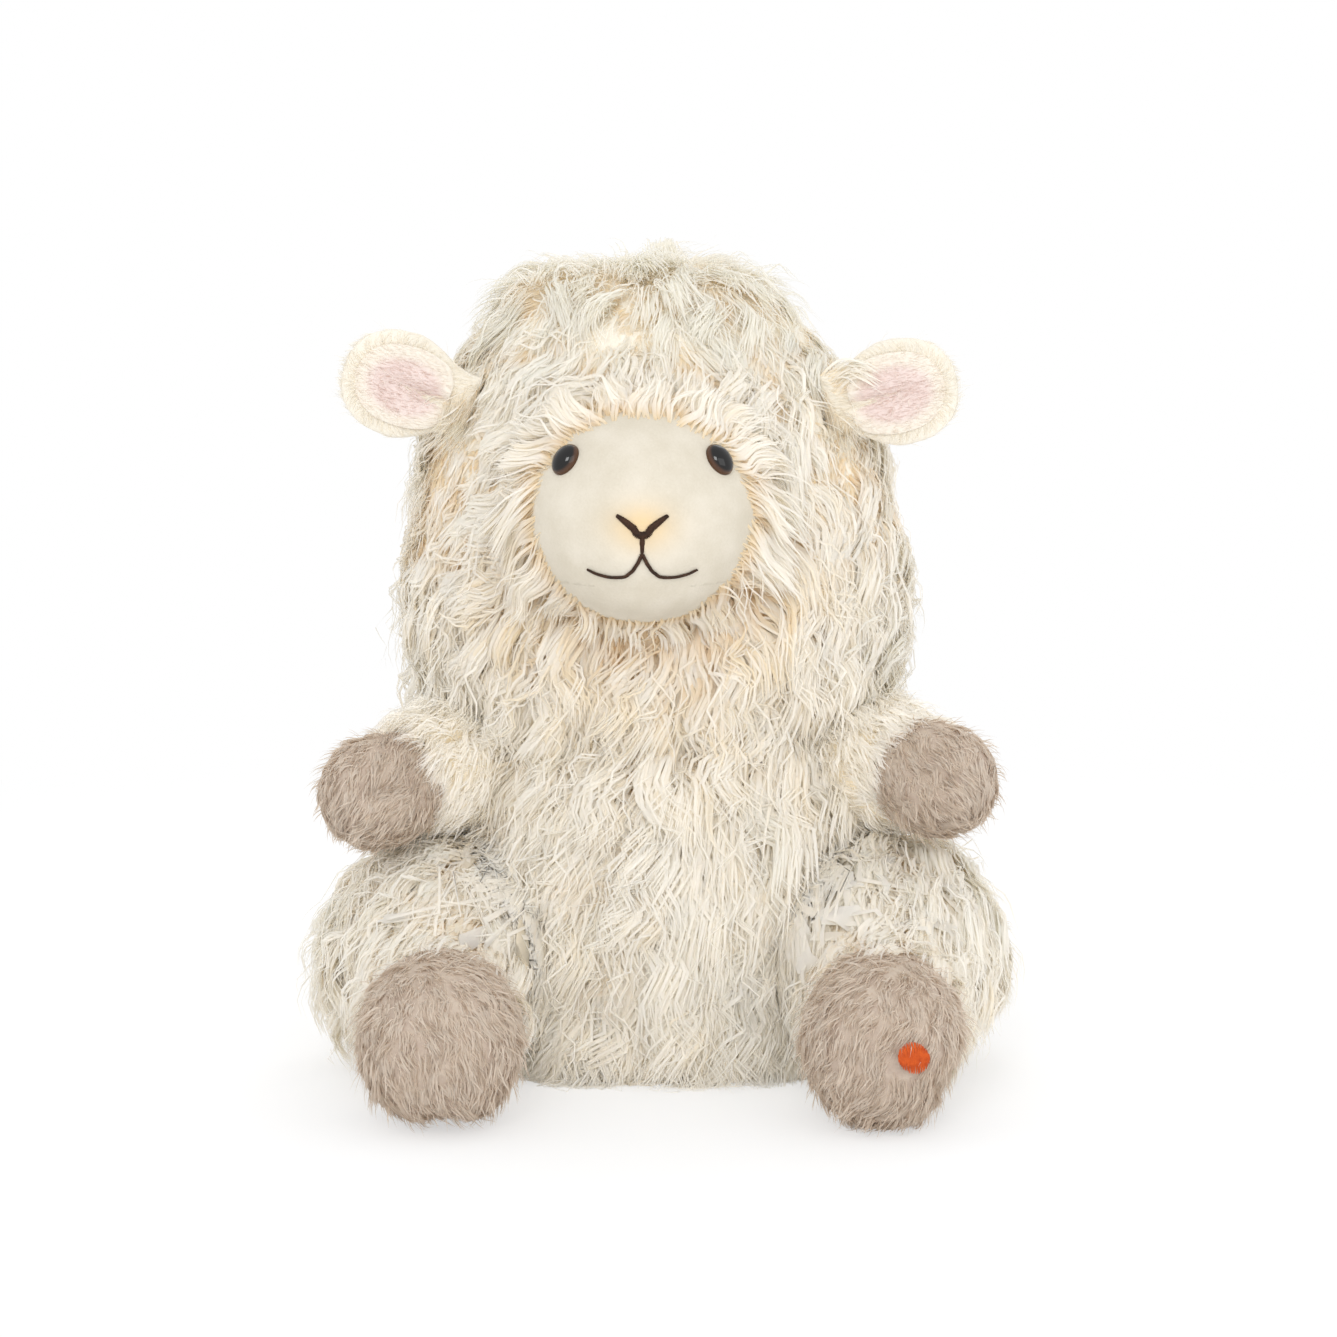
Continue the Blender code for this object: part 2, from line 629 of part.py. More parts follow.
def ear_axes(side, sign):
    """The ear's root on the hood, the way along it, the way up it, and the way out of its front."""
    height = NECK.z + EAR_LIFT
    half_width, half_depth = head_half_sizes(height)
    forward = math.radians(EAR_FORWARD_DEG)
    lean = HEAD_LEAN * ((height - head_base()) / HEAD_HEIGHT) ** 2
    x = NECK.x + lean + sign * half_width * math.cos(forward)
    root = Vector((x, NECK.y - half_depth * math.sin(forward), height))
    rise = math.radians(EAR_RISE_DEG[side])
    along = Vector((sign * math.cos(rise), 0, math.sin(rise)))
    up = Vector((-sign * math.sin(rise), 0, math.cos(rise)))
    return root, along, up, Vector((0, -1, 0))


def make_ear(side, sign, plush, pink, hood, filling):
    """The ear's back with its rolled root, the pink lining let into its front, and its groove in the hood."""
    root, along, up, front = ear_axes(side, sign)
    roll = EAR_THICKNESS / 2

    def cupped(share):
        return root + along * EAR_LENGTH * share + front * EAR_CUP * max(0.0, share) ** 2

    rings = [[root - along * roll]]
    for share in (0.9, 0.55, 0.0):
        thickness = roll * math.sqrt(1 - share**2)
        rings.append(ring(root - along * roll * share, up * EAR_ROOT_HEIGHT / 2, front * thickness, SMALL_FACETS))
    for share, reach in EAR_SHARES:
        thickness = roll * (1 - (1 - EAR_TIP_THICKNESS_SHARE) * share) * min(1, 2 * reach)
        rings.append(ring(cupped(share), up * EAR_HEIGHT / 2 * reach, front * thickness, SMALL_FACETS))
    rings.append([cupped(1.0)])
    back = piece("ear_back_" + side, rings, plush)

    def lining_rings(grow):
        start, end = 0.2, 1 - LINING_MARGIN / EAR_LENGTH
        made = []
        for place, reach in LINING_SHARES:
            share = start + (end - start) * place
            level = cupped(share) + front * roll * (1 - (1 - EAR_TIP_THICKNESS_SHARE) * share)
            high = (EAR_HEIGHT / 2 - LINING_MARGIN) * reach + grow
            made.append(ring(level, up * high, front * (LINING_THICKNESS / 2 * (0.4 + 0.6 * reach) + grow), SMALL_FACETS))
        first, last = made[0], made[-1]
        tips = [sum(points, Vector()) / len(points) for points in (first, last)]
        tips[0] -= along * grow
        tips[1] += along * (grow + LINING_THICKNESS / 2)
        return [[tips[0]]] + made + [[tips[1]]]

    cut(back, tool("lining_bed_" + side, lining_rings(GAP)))
    piece("ear_lining_" + side, lining_rings(0.0), pink)
    share, reach = EAR_SHARES[2]
    fold = math.radians(EAR_FOLD_DEG)
    low, high = EAR_ROOT_HEIGHT / 2 + 3 * GAP, EAR_HEIGHT / 2 * reach + 3 * GAP
    near, far = roll + 3 * GAP, roll / math.cos(fold) + 3 * GAP + EAR_LENGTH * share * math.tan(fold)
    ends = [root - along * near, root + along * EAR_LENGTH * share]
    rings = [ring(level, up * low, front * near, SMALL_FACETS) for level in (ends[0], root)]
    rings.append(ring(ends[1], up * high, front * far, SMALL_FACETS))
    cut(hood, tool("ear_groove_" + side, [[ends[0]]] + rings + [[ends[1]]]))


def limb_rings(pivot, direction, ball, shares, end_radius, length, inset, turn=0.0):
    """A limb's cover from the pole of its ball to its far rim: a ball that runs out into a taper."""
    across, along = side_axes(direction)
    radius = ball - inset
    places = []
    for i in range(1, BALL_ROWS + 1):
        angle = math.radians(BALL_ROW_DEG * (i - turn) - 90)
        places.append((radius * math.sin(angle), radius * math.cos(angle)))
    for share, part in shares:
        places.append((length * share, ball + (end_radius - ball) * part - inset))
    made = [ring(pivot + direction * p, across * r, along * r, LIMB_FACETS, turn=turn) for p, r in places]
    return [[pivot - direction * radius]] + made


def room_radius(ball, play=GAP, facets=LIMB_FACETS, row_deg=BALL_ROW_DEG):
    """The radius at which the flats of a faceted room clear a ball's corners by its play."""
    return (ball + play) / (math.cos(math.pi / facets) * math.cos(math.radians(row_deg / 2)))


def room_rings(pivot, direction, ball, play=GAP, facets=LIMB_FACETS, step=BALL_ROW_DEG):
    """A ball's room, whose flats face the ball's corners, so that they run closely past each other."""
    across, along = side_axes(direction)
    radius = room_radius(ball, play, facets, step)
    made = []
    degrees = step / 2 - 90
    while degrees < 90 - step / 4:
        angle = math.radians(degrees)
        reach = radius * math.cos(angle)
        place = pivot + direction * radius * math.sin(angle)
        made.append(ring(place, across * reach, along * reach, facets, turn=0.5))
        degrees += step
    return [[pivot - direction * radius]] + made + [[pivot + direction * radius]]


def inset_profile(profile, inset):
    """A half outline moved inwards. It holds places along an axis and reaches out of it, up to its tip."""
    made = []
    last = len(profile) - 1
    for i, (place, reach) in enumerate(profile[:-1]):
        before, after = profile[max(i - 1, 0)], profile[min(i + 1, last)]
        run, fall = after[0] - before[0], after[1] - before[1]
        slope = math.hypot(run, fall)
        made.append((place + fall / slope * inset, reach - run / slope * inset))
    return made + [(profile[-1][0] - inset, 0.0)]


def hoof_profile(radius, shares, tip, length, inset):
    """A paw's or foot's half outline, its rim kept in place."""
    profile = [(length * share, radius * reach) for share, reach, _ in shares] + [(length * tip, 0.0)]
    made = inset_profile(profile, inset)
    made[0] = (profile[0][0], made[0][1])
    return made


def hoof_rings(pivot, direction, radius, shares, tip, length, inset, cleft, cleft_deg):
    """A paw or foot from its rim to its tip, with the groove between its two toes."""
    across, along = side_axes(direction)
    spread = math.radians(CLEFT_WIDTH_DEG)
    profile = hoof_profile(radius, shares, tip, length, inset)
    made = []
    for (place, base), (_, _, depth) in zip(profile, shares):

        def grooved(angle, base=base, depth=depth):
            away = (angle - math.radians(cleft_deg) + math.pi) % (2 * math.pi) - math.pi
            return 1 - cleft * depth / base * math.exp(-((away / spread) ** 2))

        made.append(ring(pivot + direction * place, across * base, along * base, HOOF_FACETS, grooved))
    return made + [[pivot + direction * profile[-1][0]]]


def limb_stuffing_rings(pivot, direction, ball, limb_shares, end_radius, hoof_radius, hoof_shares, tip, length, cleft):
    """The filling of a limb, inside its cover and its paw or foot, clear of the groove between the toes."""
    inset = LIMB_WALL + GAP
    rings = limb_rings(pivot, direction, ball, limb_shares, end_radius, length, inset)
    across, along = side_axes(direction)
    profile = hoof_profile(hoof_radius, hoof_shares, tip, length, inset)
    for (place, base), (_, _, depth) in list(zip(profile, hoof_shares))[1:-1]:
        reach = base - cleft * depth
        rings.append(ring(pivot + direction * place, across * reach, along * reach, LIMB_FACETS))
    return rings + [[pivot + direction * (place + (profile[-1][0] - place) / 2)]]


def shoulder_place(sign):
    """The centre of a shoulder's ball."""
    return Vector((sign * SHOULDER_SPREAD, -SHOULDER_FORWARD, SHOULDER_Z))


def hip_place(sign):
    """The centre of a hip's ball."""
    return Vector((sign * HIP_X, -HIP_FORWARD, HIP_Z))


def tail_place():
    """The centre of the tail's ball, on the trunk's back."""
    return body_centre(TAIL_LIFT) + Vector((0, BODY_DEPTH / 2 + TAIL_STAND_OUT, 0))


def floor_cut(name):
    """Everything below the ground."""
    reach = LEG_LENGTH + THIGH_RADIUS
    low = Vector((0, -reach, -THIGH_RADIUS))
    rows = [flat_ring(Vector((0, -reach, z)), 3 * reach, 3 * reach, 8) for z in (-THIGH_RADIUS, 0.0)]
    return tool(name, [[low]] + rows + [[Vector((0, -reach, 0))]])


def make_arm(side, sign, cream, taupe, fibre):
    """An arm from its ball in the shoulder to its paw. Returns the room that the trunk leaves for its swing."""
    pivot = shoulder_place(sign)
    spread, droop = math.radians(ARM_SPREAD_DEG[side]), math.radians(ARM_DROOP_DEG[side])
    level = Vector((sign * math.sin(spread), -math.cos(spread), 0))
    direction = level * math.cos(droop) - Vector((0, 0, math.sin(droop)))
    sizes = (ARM_BALL_RADIUS, ARM_SHARES, WRIST_RADIUS, ARM_LENGTH)
    outer = limb_rings(pivot, direction, *sizes, 0.0)
    inner = limb_rings(pivot, direction, *sizes, LIMB_WALL)
    piece("arm_cover_" + side, outer + inner[::-1], cream)
    seam = direction * GAP
    hoof = (PAW_RADIUS, PAW_SHARES, PAW_TIP_SHARE, ARM_LENGTH)
    outer = hoof_rings(pivot + seam, direction, *hoof, 0.0, PAW_CLEFT, PAW_CLEFT_DEG[side])
    inner = hoof_rings(pivot + seam, direction, *hoof, LIMB_WALL, PAW_CLEFT, PAW_CLEFT_DEG[side])
    piece("paw_" + side, outer[::-1] + inner, taupe)
    filling = (ARM_BALL_RADIUS, ARM_SHARES, WRIST_RADIUS, PAW_RADIUS, PAW_SHARES, PAW_TIP_SHARE, ARM_LENGTH)
    piece("arm_stuffing_" + side, limb_stuffing_rings(pivot, direction, *filling, PAW_CLEFT), fibre)
    sizes = (room_radius(ARM_BALL_RADIUS), ARM_SHARES, WRIST_RADIUS + ARM_SWING_ROOM, ARM_LENGTH)
    room = limb_rings(pivot, direction, *sizes, 0.0, turn=0.5)
    return tool("shoulder_room_" + side, room + [[pivot + direction * ARM_LENGTH * ARM_SHARES[-1][0]]])


def make_leg(side, sign, wool, taupe, fibre, trunk, ground):
    """A leg from its ball in the hip to its foot. Returns the ball's room, which the trunk is cut by."""
    pivot = hip_place(sign)
    drop = (HIP_Z - (FOOT_RADIUS - SEAT_FLAT)) / LEG_LENGTH
    inwards = -sign * TOE_IN / LEG_LENGTH
    direction = Vector((inwards, -math.sqrt(1 - drop**2 - inwards**2), -drop))
    sizes = (THIGH_RADIUS, LEG_SHARES, ANKLE_RADIUS, LEG_LENGTH)
    outer = limb_rings(pivot, direction, *sizes, 0.0)
    inner = limb_rings(pivot, direction, *sizes, LIMB_WALL)
    cover = piece("leg_cover_" + side, outer + inner[::-1], wool)
    seam = direction * GAP
    hoof = (FOOT_RADIUS, FOOT_SHARES, FOOT_TIP_SHARE, LEG_LENGTH)
    outer = hoof_rings(pivot + seam, direction, *hoof, 0.0, FOOT_CLEFT, FOOT_CLEFT_DEG[side])
    inner = hoof_rings(pivot + seam, direction, *hoof, LIMB_WALL, FOOT_CLEFT, FOOT_CLEFT_DEG[side])
    foot = piece("foot_" + side, outer[::-1] + inner, taupe)
    filling = (THIGH_RADIUS, LEG_SHARES, ANKLE_RADIUS, FOOT_RADIUS, FOOT_SHARES, FOOT_TIP_SHARE, LEG_LENGTH)
    stuffing = piece("leg_stuffing_" + side, limb_stuffing_rings(pivot, direction, *filling, FOOT_CLEFT), fibre)
    beside = tool("trunk_beside_leg_" + side, trunk)
    kept = ball_rings(pivot, THIGH_RADIUS + 2 * GAP, BODY_FACETS, KEPT_ROWS)
    cut(beside, tool("thigh_" + side, kept))
    cut(cover, beside, ground)
    cut(foot, ground)
    cut(stuffing, beside)
    return tool("hip_room_" + side, room_rings(pivot, direction, THIGH_RADIUS, 3 * GAP)), pivot, direction


def make_dot(pivot, direction, thread):
    """The round stitched dot on the sole of the left foot."""
    across, along = side_axes(direction)
    share, reach, _ = FOOT_SHARES[-1]
    spoke = -across * DOT_SPREAD + along * DOT_LIFT
    run, fall = LEG_LENGTH * (FOOT_TIP_SHARE - share), FOOT_RADIUS * reach
    place = pivot + direction * (LEG_LENGTH * share + run * (1 - spoke.length / fall))
    outwards = (spoke.normalized() * run + direction * fall).normalized()
    base = place + spoke + outwards * 3 * GAP
    top = base + outwards * DOT_THICKNESS
    side, up = side_axes(outwards)
    rings = [ring(level, side * DOT_RADIUS, up * DOT_RADIUS, SMALL_FACETS) for level in (base, top)]
    piece("foot_dot", [[base]] + rings + [[top]], thread)


def make_tail(wool):
    """The short tail, with the ball that turns in the trunk's back. Returns the ball's room."""
    pivot = tail_place()
    droop = math.radians(TAIL_DROOP_DEG)
    direction = Vector((0, math.cos(droop), -math.sin(droop)))
    across, along = side_axes(direction)
    rings = [[pivot - direction * TAIL_BALL_RADIUS]]
    for degrees in (-60, -30, 0, 22):
        angle = math.radians(degrees)
        place, reach = TAIL_BALL_RADIUS * math.sin(angle), TAIL_BALL_RADIUS * math.cos(angle)
        rings.append(ring(pivot + direction * place, across * reach, along * reach, SMALL_FACETS))
    for share, reach in TAIL_SHARES:
        rings.append(ring(pivot + direction * TAIL_LENGTH * share, across * TAIL_RADIUS * reach, along * TAIL_RADIUS * reach, SMALL_FACETS))
    rings.append([pivot + direction * TAIL_LENGTH])
    tail = piece("tail", rings, wool)
    return tail, tool("tail_room", room_rings(pivot, direction, TAIL_BALL_RADIUS, GAP, SMALL_FACETS, TAIL_ROW_DEG))


def hinge(name, place, parent, names):
    """An empty on a joint's axis that carries the named pieces and rides on its parent."""
    made = bpy.data.objects.new(name, None)
    bpy.context.scene.collection.objects.link(made)
    made.location = place
    if parent:
        made.parent = parent
        made.matrix_parent_inverse = Matrix.Translation(-parent.location)
    for each in names:
        carried = bpy.data.objects[each]
        carried.parent = made
        carried.matrix_parent_inverse = Matrix.Translation(-place)
    return made


def hang_on_joints():
    """Puts each moving group of pieces on its joint."""
    neck = hinge("neck_joint", NECK, None, ["neck_stuffing"])
    on_head = ["head_cover", "face_panel", "chin_panel", "head_stuffing", "nose_stitching", "mouth_stitching"]
    on_head += [name + side for name in ("eye_", "eye_washer_") for side in SIDES]
    head = hinge("head_joint", NECK, neck, on_head)
    for side, sign in SIDES.items():
        hinge("ear_joint_" + side, ear_axes(side, sign)[0], head, ["ear_back_" + side, "ear_lining_" + side])
        arm = ["arm_cover_" + side, "arm_stuffing_" + side, "paw_" + side]
        hinge("shoulder_joint_" + side, shoulder_place(sign), None, arm)
        leg = ["leg_cover_" + side, "leg_stuffing_" + side, "foot_" + side]
        hinge("hip_joint_" + side, hip_place(sign), None, leg + (["foot_dot"] if side == "left" else []))
    hinge("tail_joint", tail_place(), None, ["tail"])


def main():
    """Makes every piece of the sheep."""
    clear_scene()
    wool = material("ivory_wool", (0.86, 0.80, 0.68), 0.95)
    plush = material("cream_plush", (0.90, 0.86, 0.77), 0.9)
    pink = material("pink_lining", (0.88, 0.72, 0.71), 0.9)
    taupe = material("taupe_plush", (0.60, 0.53, 0.47), 0.95)
    gloss = material("black_gloss", (0.01, 0.008, 0.007), 0.08)
    nylon = material("white_nylon", (0.85, 0.85, 0.83), 0.4)
    brown = material("brown_thread", (0.09, 0.05, 0.03), 0.6)
    rust = material("rust_thread", (0.62, 0.17, 0.05), 0.6)
    fibre = material("white_fibrefill", (0.93, 0.93, 0.91), 1.0)
    canvas = material("cream_canvas", (0.84, 0.79, 0.69), 0.9)

    cover, stuffing = make_trunk(wool, canvas, canvas, fibre)
    make_neck(fibre)
    hood, filling = make_head(wool, plush, fibre)
    cloths = {"face_panel": bpy.data.objects["face_panel"], "head_stuffing": filling}
    make_embroidery(brown)
    ground = floor_cut("ground")
    grown = body_rings(0.0, LEG_SWING_ROOM)
    trunk = [[body_centre(0.0)]] + grown + [[body_centre(grown[-1][0].z)]]
    for side, sign in SIDES.items():
        make_eye(side, sign, gloss, nylon, cloths)
        make_ear(side, sign, plush, pink, hood, filling)
        shoulder = make_arm(side, sign, plush, taupe, fibre)
        hip, pivot, direction = make_leg(side, sign, wool, taupe, fibre, trunk, ground)
        cut(cover, shoulder, hip)
        cut(stuffing, shoulder, hip)
        if side == "left":
            make_dot(pivot, direction, rust)
    _, tail_room = make_tail(wool)
    cut(cover, tail_room)
    cut(stuffing, tail_room)
    hang_on_joints()


main()
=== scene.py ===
"""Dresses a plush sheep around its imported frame: curly wool, a smooth face, plush paws and feet, and the filling.

Lengths are in millimetres until a mesh is finished, and then in metres, in the frame of the CAD part.
The sheep faces -Y. "Left" and "right" are its own sides, so left is +X.
"""
import json
import logging
import math
from dataclasses import dataclass, field, replace
from enum import Enum
from typing import Any, Callable, Optional, Sequence, Union

import bmesh
import bpy
import numpy as np
from mathutils import Matrix, Vector


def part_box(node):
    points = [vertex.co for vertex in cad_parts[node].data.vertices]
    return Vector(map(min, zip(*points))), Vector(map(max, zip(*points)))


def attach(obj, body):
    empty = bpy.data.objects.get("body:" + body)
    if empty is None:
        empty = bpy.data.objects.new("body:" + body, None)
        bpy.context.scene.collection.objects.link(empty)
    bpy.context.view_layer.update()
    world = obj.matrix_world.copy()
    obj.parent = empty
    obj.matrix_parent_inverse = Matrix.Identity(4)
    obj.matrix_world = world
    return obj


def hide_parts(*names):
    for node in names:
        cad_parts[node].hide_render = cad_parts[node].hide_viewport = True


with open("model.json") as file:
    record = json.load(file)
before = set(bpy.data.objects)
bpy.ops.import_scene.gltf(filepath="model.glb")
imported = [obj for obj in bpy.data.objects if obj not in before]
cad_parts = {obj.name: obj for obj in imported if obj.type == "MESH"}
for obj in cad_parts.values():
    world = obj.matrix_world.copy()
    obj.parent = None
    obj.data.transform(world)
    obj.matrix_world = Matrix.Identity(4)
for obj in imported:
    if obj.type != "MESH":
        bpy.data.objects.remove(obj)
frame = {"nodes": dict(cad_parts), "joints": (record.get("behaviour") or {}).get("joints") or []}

LOG = logging.getLogger("sheep")
MM = 0.001
UP = np.array([0.0, 0.0, 1.0])
LEFT = np.array([1.0, 0.0, 0.0])
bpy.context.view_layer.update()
Array = np.ndarray
Numbers = Union[float, Array]
Mesh, Material, Thing, Socket = bpy.types.Mesh, bpy.types.Material, bpy.types.Object, bpy.types.NodeSocket
Value = Union["Wire", float, int, str, tuple, Material]


class Side(Enum):
    """The sheep's own two sides, with the sign of X there."""

    LEFT = 1
    RIGHT = -1

    @property
    def word(self) -> str:
        """The side's name as the nodes have it."""
        return self.name.lower()


class Pile(Enum):
    """Kinds of pile that a pelt may grow."""

    LOCKS = "locks"
    CURLED = "curled"
    COMBED = "combed"
    FUZZ = "fuzz"


# ---------------------------------------------------------------- nodes


class Wire:
    """A node's output, on which Python's operators add maths nodes."""

    def __init__(self, maker: "Maker", socket: Socket) -> None:
        """Wraps a socket of one of the maker's nodes."""
        self.maker = maker
        self.socket = socket

    def out(self, name: str) -> "Wire":
        """Another output of the same node."""
        return Wire(self.maker, pick(self.socket.node.outputs, name))

    def _join(self, operation: str, other: Any, flip: bool = False) -> "Wire":
        """Adds the maths node for two values, numbers or vectors.

        Args:
            operation: the node's operation.
            other: the second value.
            flip: whether the other value comes first.

        Returns:
            The result.
        """
        first, second = (other, self) if flip else (self, other)
        wide = [isinstance(v, tuple) or (isinstance(v, Wire) and v.socket.type == "VECTOR") for v in (first, second)]
        if not any(wide):
            return self.maker.node("ShaderNodeMath", {"operation": operation}, {0: first, 1: second})
        if operation == "MULTIPLY" and not all(wide):
            first, second = (first, second) if wide[0] else (second, first)
            return self.maker.node("ShaderNodeVectorMath", {"operation": "SCALE"}, {0: first, 1: second})
        return self.maker.node("ShaderNodeVectorMath", {"operation": operation}, {0: first, 1: second})

    def __add__(self, other: Any) -> "Wire":
        """Sum."""
        return self._join("ADD", other)

    def __sub__(self, other: Any) -> "Wire":
        """Difference."""
        return self._join("SUBTRACT", other)

    def __rsub__(self, other: Any) -> "Wire":
        """Difference, reflected."""
        return self._join("SUBTRACT", other, True)

    def __mul__(self, other: Any) -> "Wire":
        """Product, by a number or part by part."""
        return self._join("MULTIPLY", other)

    def __truediv__(self, other: Any) -> "Wire":
        """Quotient of two numbers."""
        return self._join("DIVIDE", other)

    def __rtruediv__(self, other: Any) -> "Wire":
        """Quotient of two numbers, reflected."""
        return self._join("DIVIDE", other, True)

    def highest(self, other: Any) -> "Wire":
        """The larger of two numbers."""
        return self._join("MAXIMUM", other)

    def lowest(self, other: Any) -> "Wire":
        """The smaller of two numbers."""
        return self._join("MINIMUM", other)

    def _apply(self, kind: str, operation: str, out: Union[int, str] = 0, second: Any = None) -> "Wire":
        """Adds a maths node of a kind for this value, and for a second one if it is given."""
        sockets = {0: self} if second is None else {0: self, 1: second}
        return self.maker.node(f"ShaderNode{kind}", {"operation": operation}, sockets, out)

    def sine(self) -> "Wire":
        """The sine of a number of radians."""
        return self._apply("Math", "SINE")

    def cosine(self) -> "Wire":
        """The cosine of a number of radians."""
        return self._apply("Math", "COSINE")

    def over(self, limit: float) -> "Wire":
        """1 where the number is above the limit, otherwise 0."""
        return self._apply("Math", "GREATER_THAN", second=limit)

    def cross(self, other: Any) -> "Wire":
        """The cross product."""
        return self._apply("VectorMath", "CROSS_PRODUCT", second=other)

    def dot(self, other: Any) -> "Wire":
        """The dot product."""
        return self._apply("VectorMath", "DOT_PRODUCT", "Value", second=other)

    def unit(self) -> "Wire":
        """The direction of a vector."""
        return self._apply("VectorMath", "NORMALIZE")

    def length(self) -> "Wire":
        """The length of a vector."""
        return self._apply("VectorMath", "LENGTH", "Value")

    def part(self, letter: str) -> "Wire":
        """The X, Y or Z part of a vector."""
        return self.maker.node("ShaderNodeSeparateXYZ", {}, {0: self}, letter)

    def ramp(self, low: float, high: float) -> "Wire":
        """0 below low, 1 above high, and smooth between them."""
        sockets = {"Value": self, "From Min": low, "From Max": high, "To Min": 0.0, "To Max": 1.0}
        return self.maker.node("ShaderNodeMapRange", {"interpolation_type": "SMOOTHSTEP", "clamp": True}, sockets)


def pick(sockets: Sequence[Socket], key: Union[int, str]) -> Socket:
    """Finds a socket in use by its place, name or identifier.

    Args:
        sockets: a node's inputs or outputs.
        key: the place among those in use, or the name or identifier.

    Returns:
        The socket.
    """
    used = [s for s in sockets if s.enabled]
    if isinstance(key, int):
        return used[key]
    return next(s for s in used if key in (s.name, s.identifier))


class Maker:
    """Adds nodes to a tree."""

    def __init__(self, tree: bpy.types.NodeTree) -> None:
        """Works on one tree."""
        self.tree = tree

    def node(
        self, kind: str, settings: Optional[dict] = None, sockets: Optional[dict] = None, out: Union[int, str] = 0
    ) -> Wire:
        """Adds a node.

        Args:
            kind: the node's type.
            settings: its settings, which are set first.
            sockets: values or wires for its inputs.
            out: which output is wanted.

        Returns:
            That output.
        """
        made = self.tree.nodes.new(kind)
        for name, value in (settings or {}).items():
            setattr(made, name, value)
        for key, value in (sockets or {}).items():
            socket = pick(made.inputs, key)
            if isinstance(value, Wire):
                self.tree.links.new(value.socket, socket)
            else:
                socket.default_value = value
        outputs = [s for s in made.outputs if s.enabled]
        return Wire(self, pick(made.outputs, out)) if outputs else Wire(self, made.inputs[0])

    def mix(self, factor: Value, first: Value, second: Value, kind: str = "FLOAT") -> Wire:
        """Mixes two numbers, vectors or colours.

        Args:
            factor: 0 for the first, 1 for the second.
            first: a value.
            second: a value.
            kind: FLOAT, VECTOR or RGBA.

        Returns:
            The mixture.
        """
        return self.node("ShaderNodeMix", {"data_type": kind}, {"Factor": factor, "A": first, "B": second}, "Result")


# ---------------------------------------------------------------- finishes

SPECULAR = 0.25  # of cloth and fibre
COAT_ROUGHNESS = 0.03
THROUGH = 0.5  # the share of light that passes through a fibre


def colour(code: str) -> tuple[float, float, float]:
    """A colour from its screen code, in linear light."""
    parts = [int(code[i : i + 2], 16) / 255 for i in (1, 3, 5)]
    return tuple(p / 12.92 if p <= 0.04045 else ((p + 0.055) / 1.055) ** 2.4 for p in parts)


def rgba(code: str) -> tuple[float, float, float, float]:
    """The same with its alpha."""
    return (*colour(code), 1.0)


@dataclass(frozen=True)
class Finish:
    """A surface with noise in its colour and its height.

    The scales are in cycles a metre, and the depth is in metres.
    """

    name: str
    low: str
    high: str
    roughness: float = 0.9
    grain: float = 900.0
    patch: float = 60.0
    depth: float = 0.0003
    strength: float = 0.6
    sheen: float = 0.0
    coat: float = 0.0

    def _start(self) -> tuple[Material, Maker, Wire]:
        """A new material with its shader, and object coordinates."""
        made = bpy.data.materials.new(self.name)
        made.use_nodes = True
        made.node_tree.nodes.clear()
        maker = Maker(made.node_tree)
        return made, maker, maker.node("ShaderNodeTexCoord", out="Object")

    def _shade(self, maker: Maker, base: Value, rough: Value, normal: Optional[Wire]) -> None:
        """Adds the shader and the output."""
        sockets: dict = {"Base Color": base, "Roughness": rough, "Sheen Weight": self.sheen, "Coat Weight": self.coat}
        sockets["Specular IOR Level"] = SPECULAR
        sockets["Coat Roughness"] = COAT_ROUGHNESS
        if normal:
            sockets["Normal"] = normal
        shader = maker.node("ShaderNodeBsdfPrincipled", {}, sockets)
        maker.node("ShaderNodeOutputMaterial", {}, {"Surface": shader})

    def noise(
        self, maker: Maker, place: Wire, scale: float, detail: float = 3.0, stretch: tuple = (1.0, 1.0, 1.0)
    ) -> Wire:
        """A noise of the given cycles a metre over object coordinates."""
        spread = tuple(scale * s for s in stretch)
        mapped = maker.node("ShaderNodeMapping", {}, {"Vector": place, "Scale": spread})
        return maker.node("ShaderNodeTexNoise", {}, {"Vector": mapped, "Scale": 1.0, "Detail": detail})

    def bump(self, maker: Maker, height: Wire) -> Wire:
        """The normal of a height in shares of the depth."""
        return maker.node("ShaderNodeBump", {}, {"Strength": self.strength, "Distance": self.depth, "Height": height})

    def make(self) -> Material:
        """Makes the material.

        Returns:
            A material whose colour drifts in patches and grains between its two colours.
        """
        made, maker, place = self._start()
        fine = self.noise(maker, place, self.grain)
        broad = self.noise(maker, place, self.patch, 2.0)
        share = (fine * 0.5 + broad * 0.9 - 0.2).ramp(0.1, 0.9)
        base = maker.mix(share, rgba(self.low), rgba(self.high), "RGBA")
        rough = maker.mix(fine.ramp(0.3, 0.7), self.roughness - 0.06, min(1.0, self.roughness + 0.05))
        self._shade(maker, base, rough, self.bump(maker, fine + broad * 0.5))
        return made


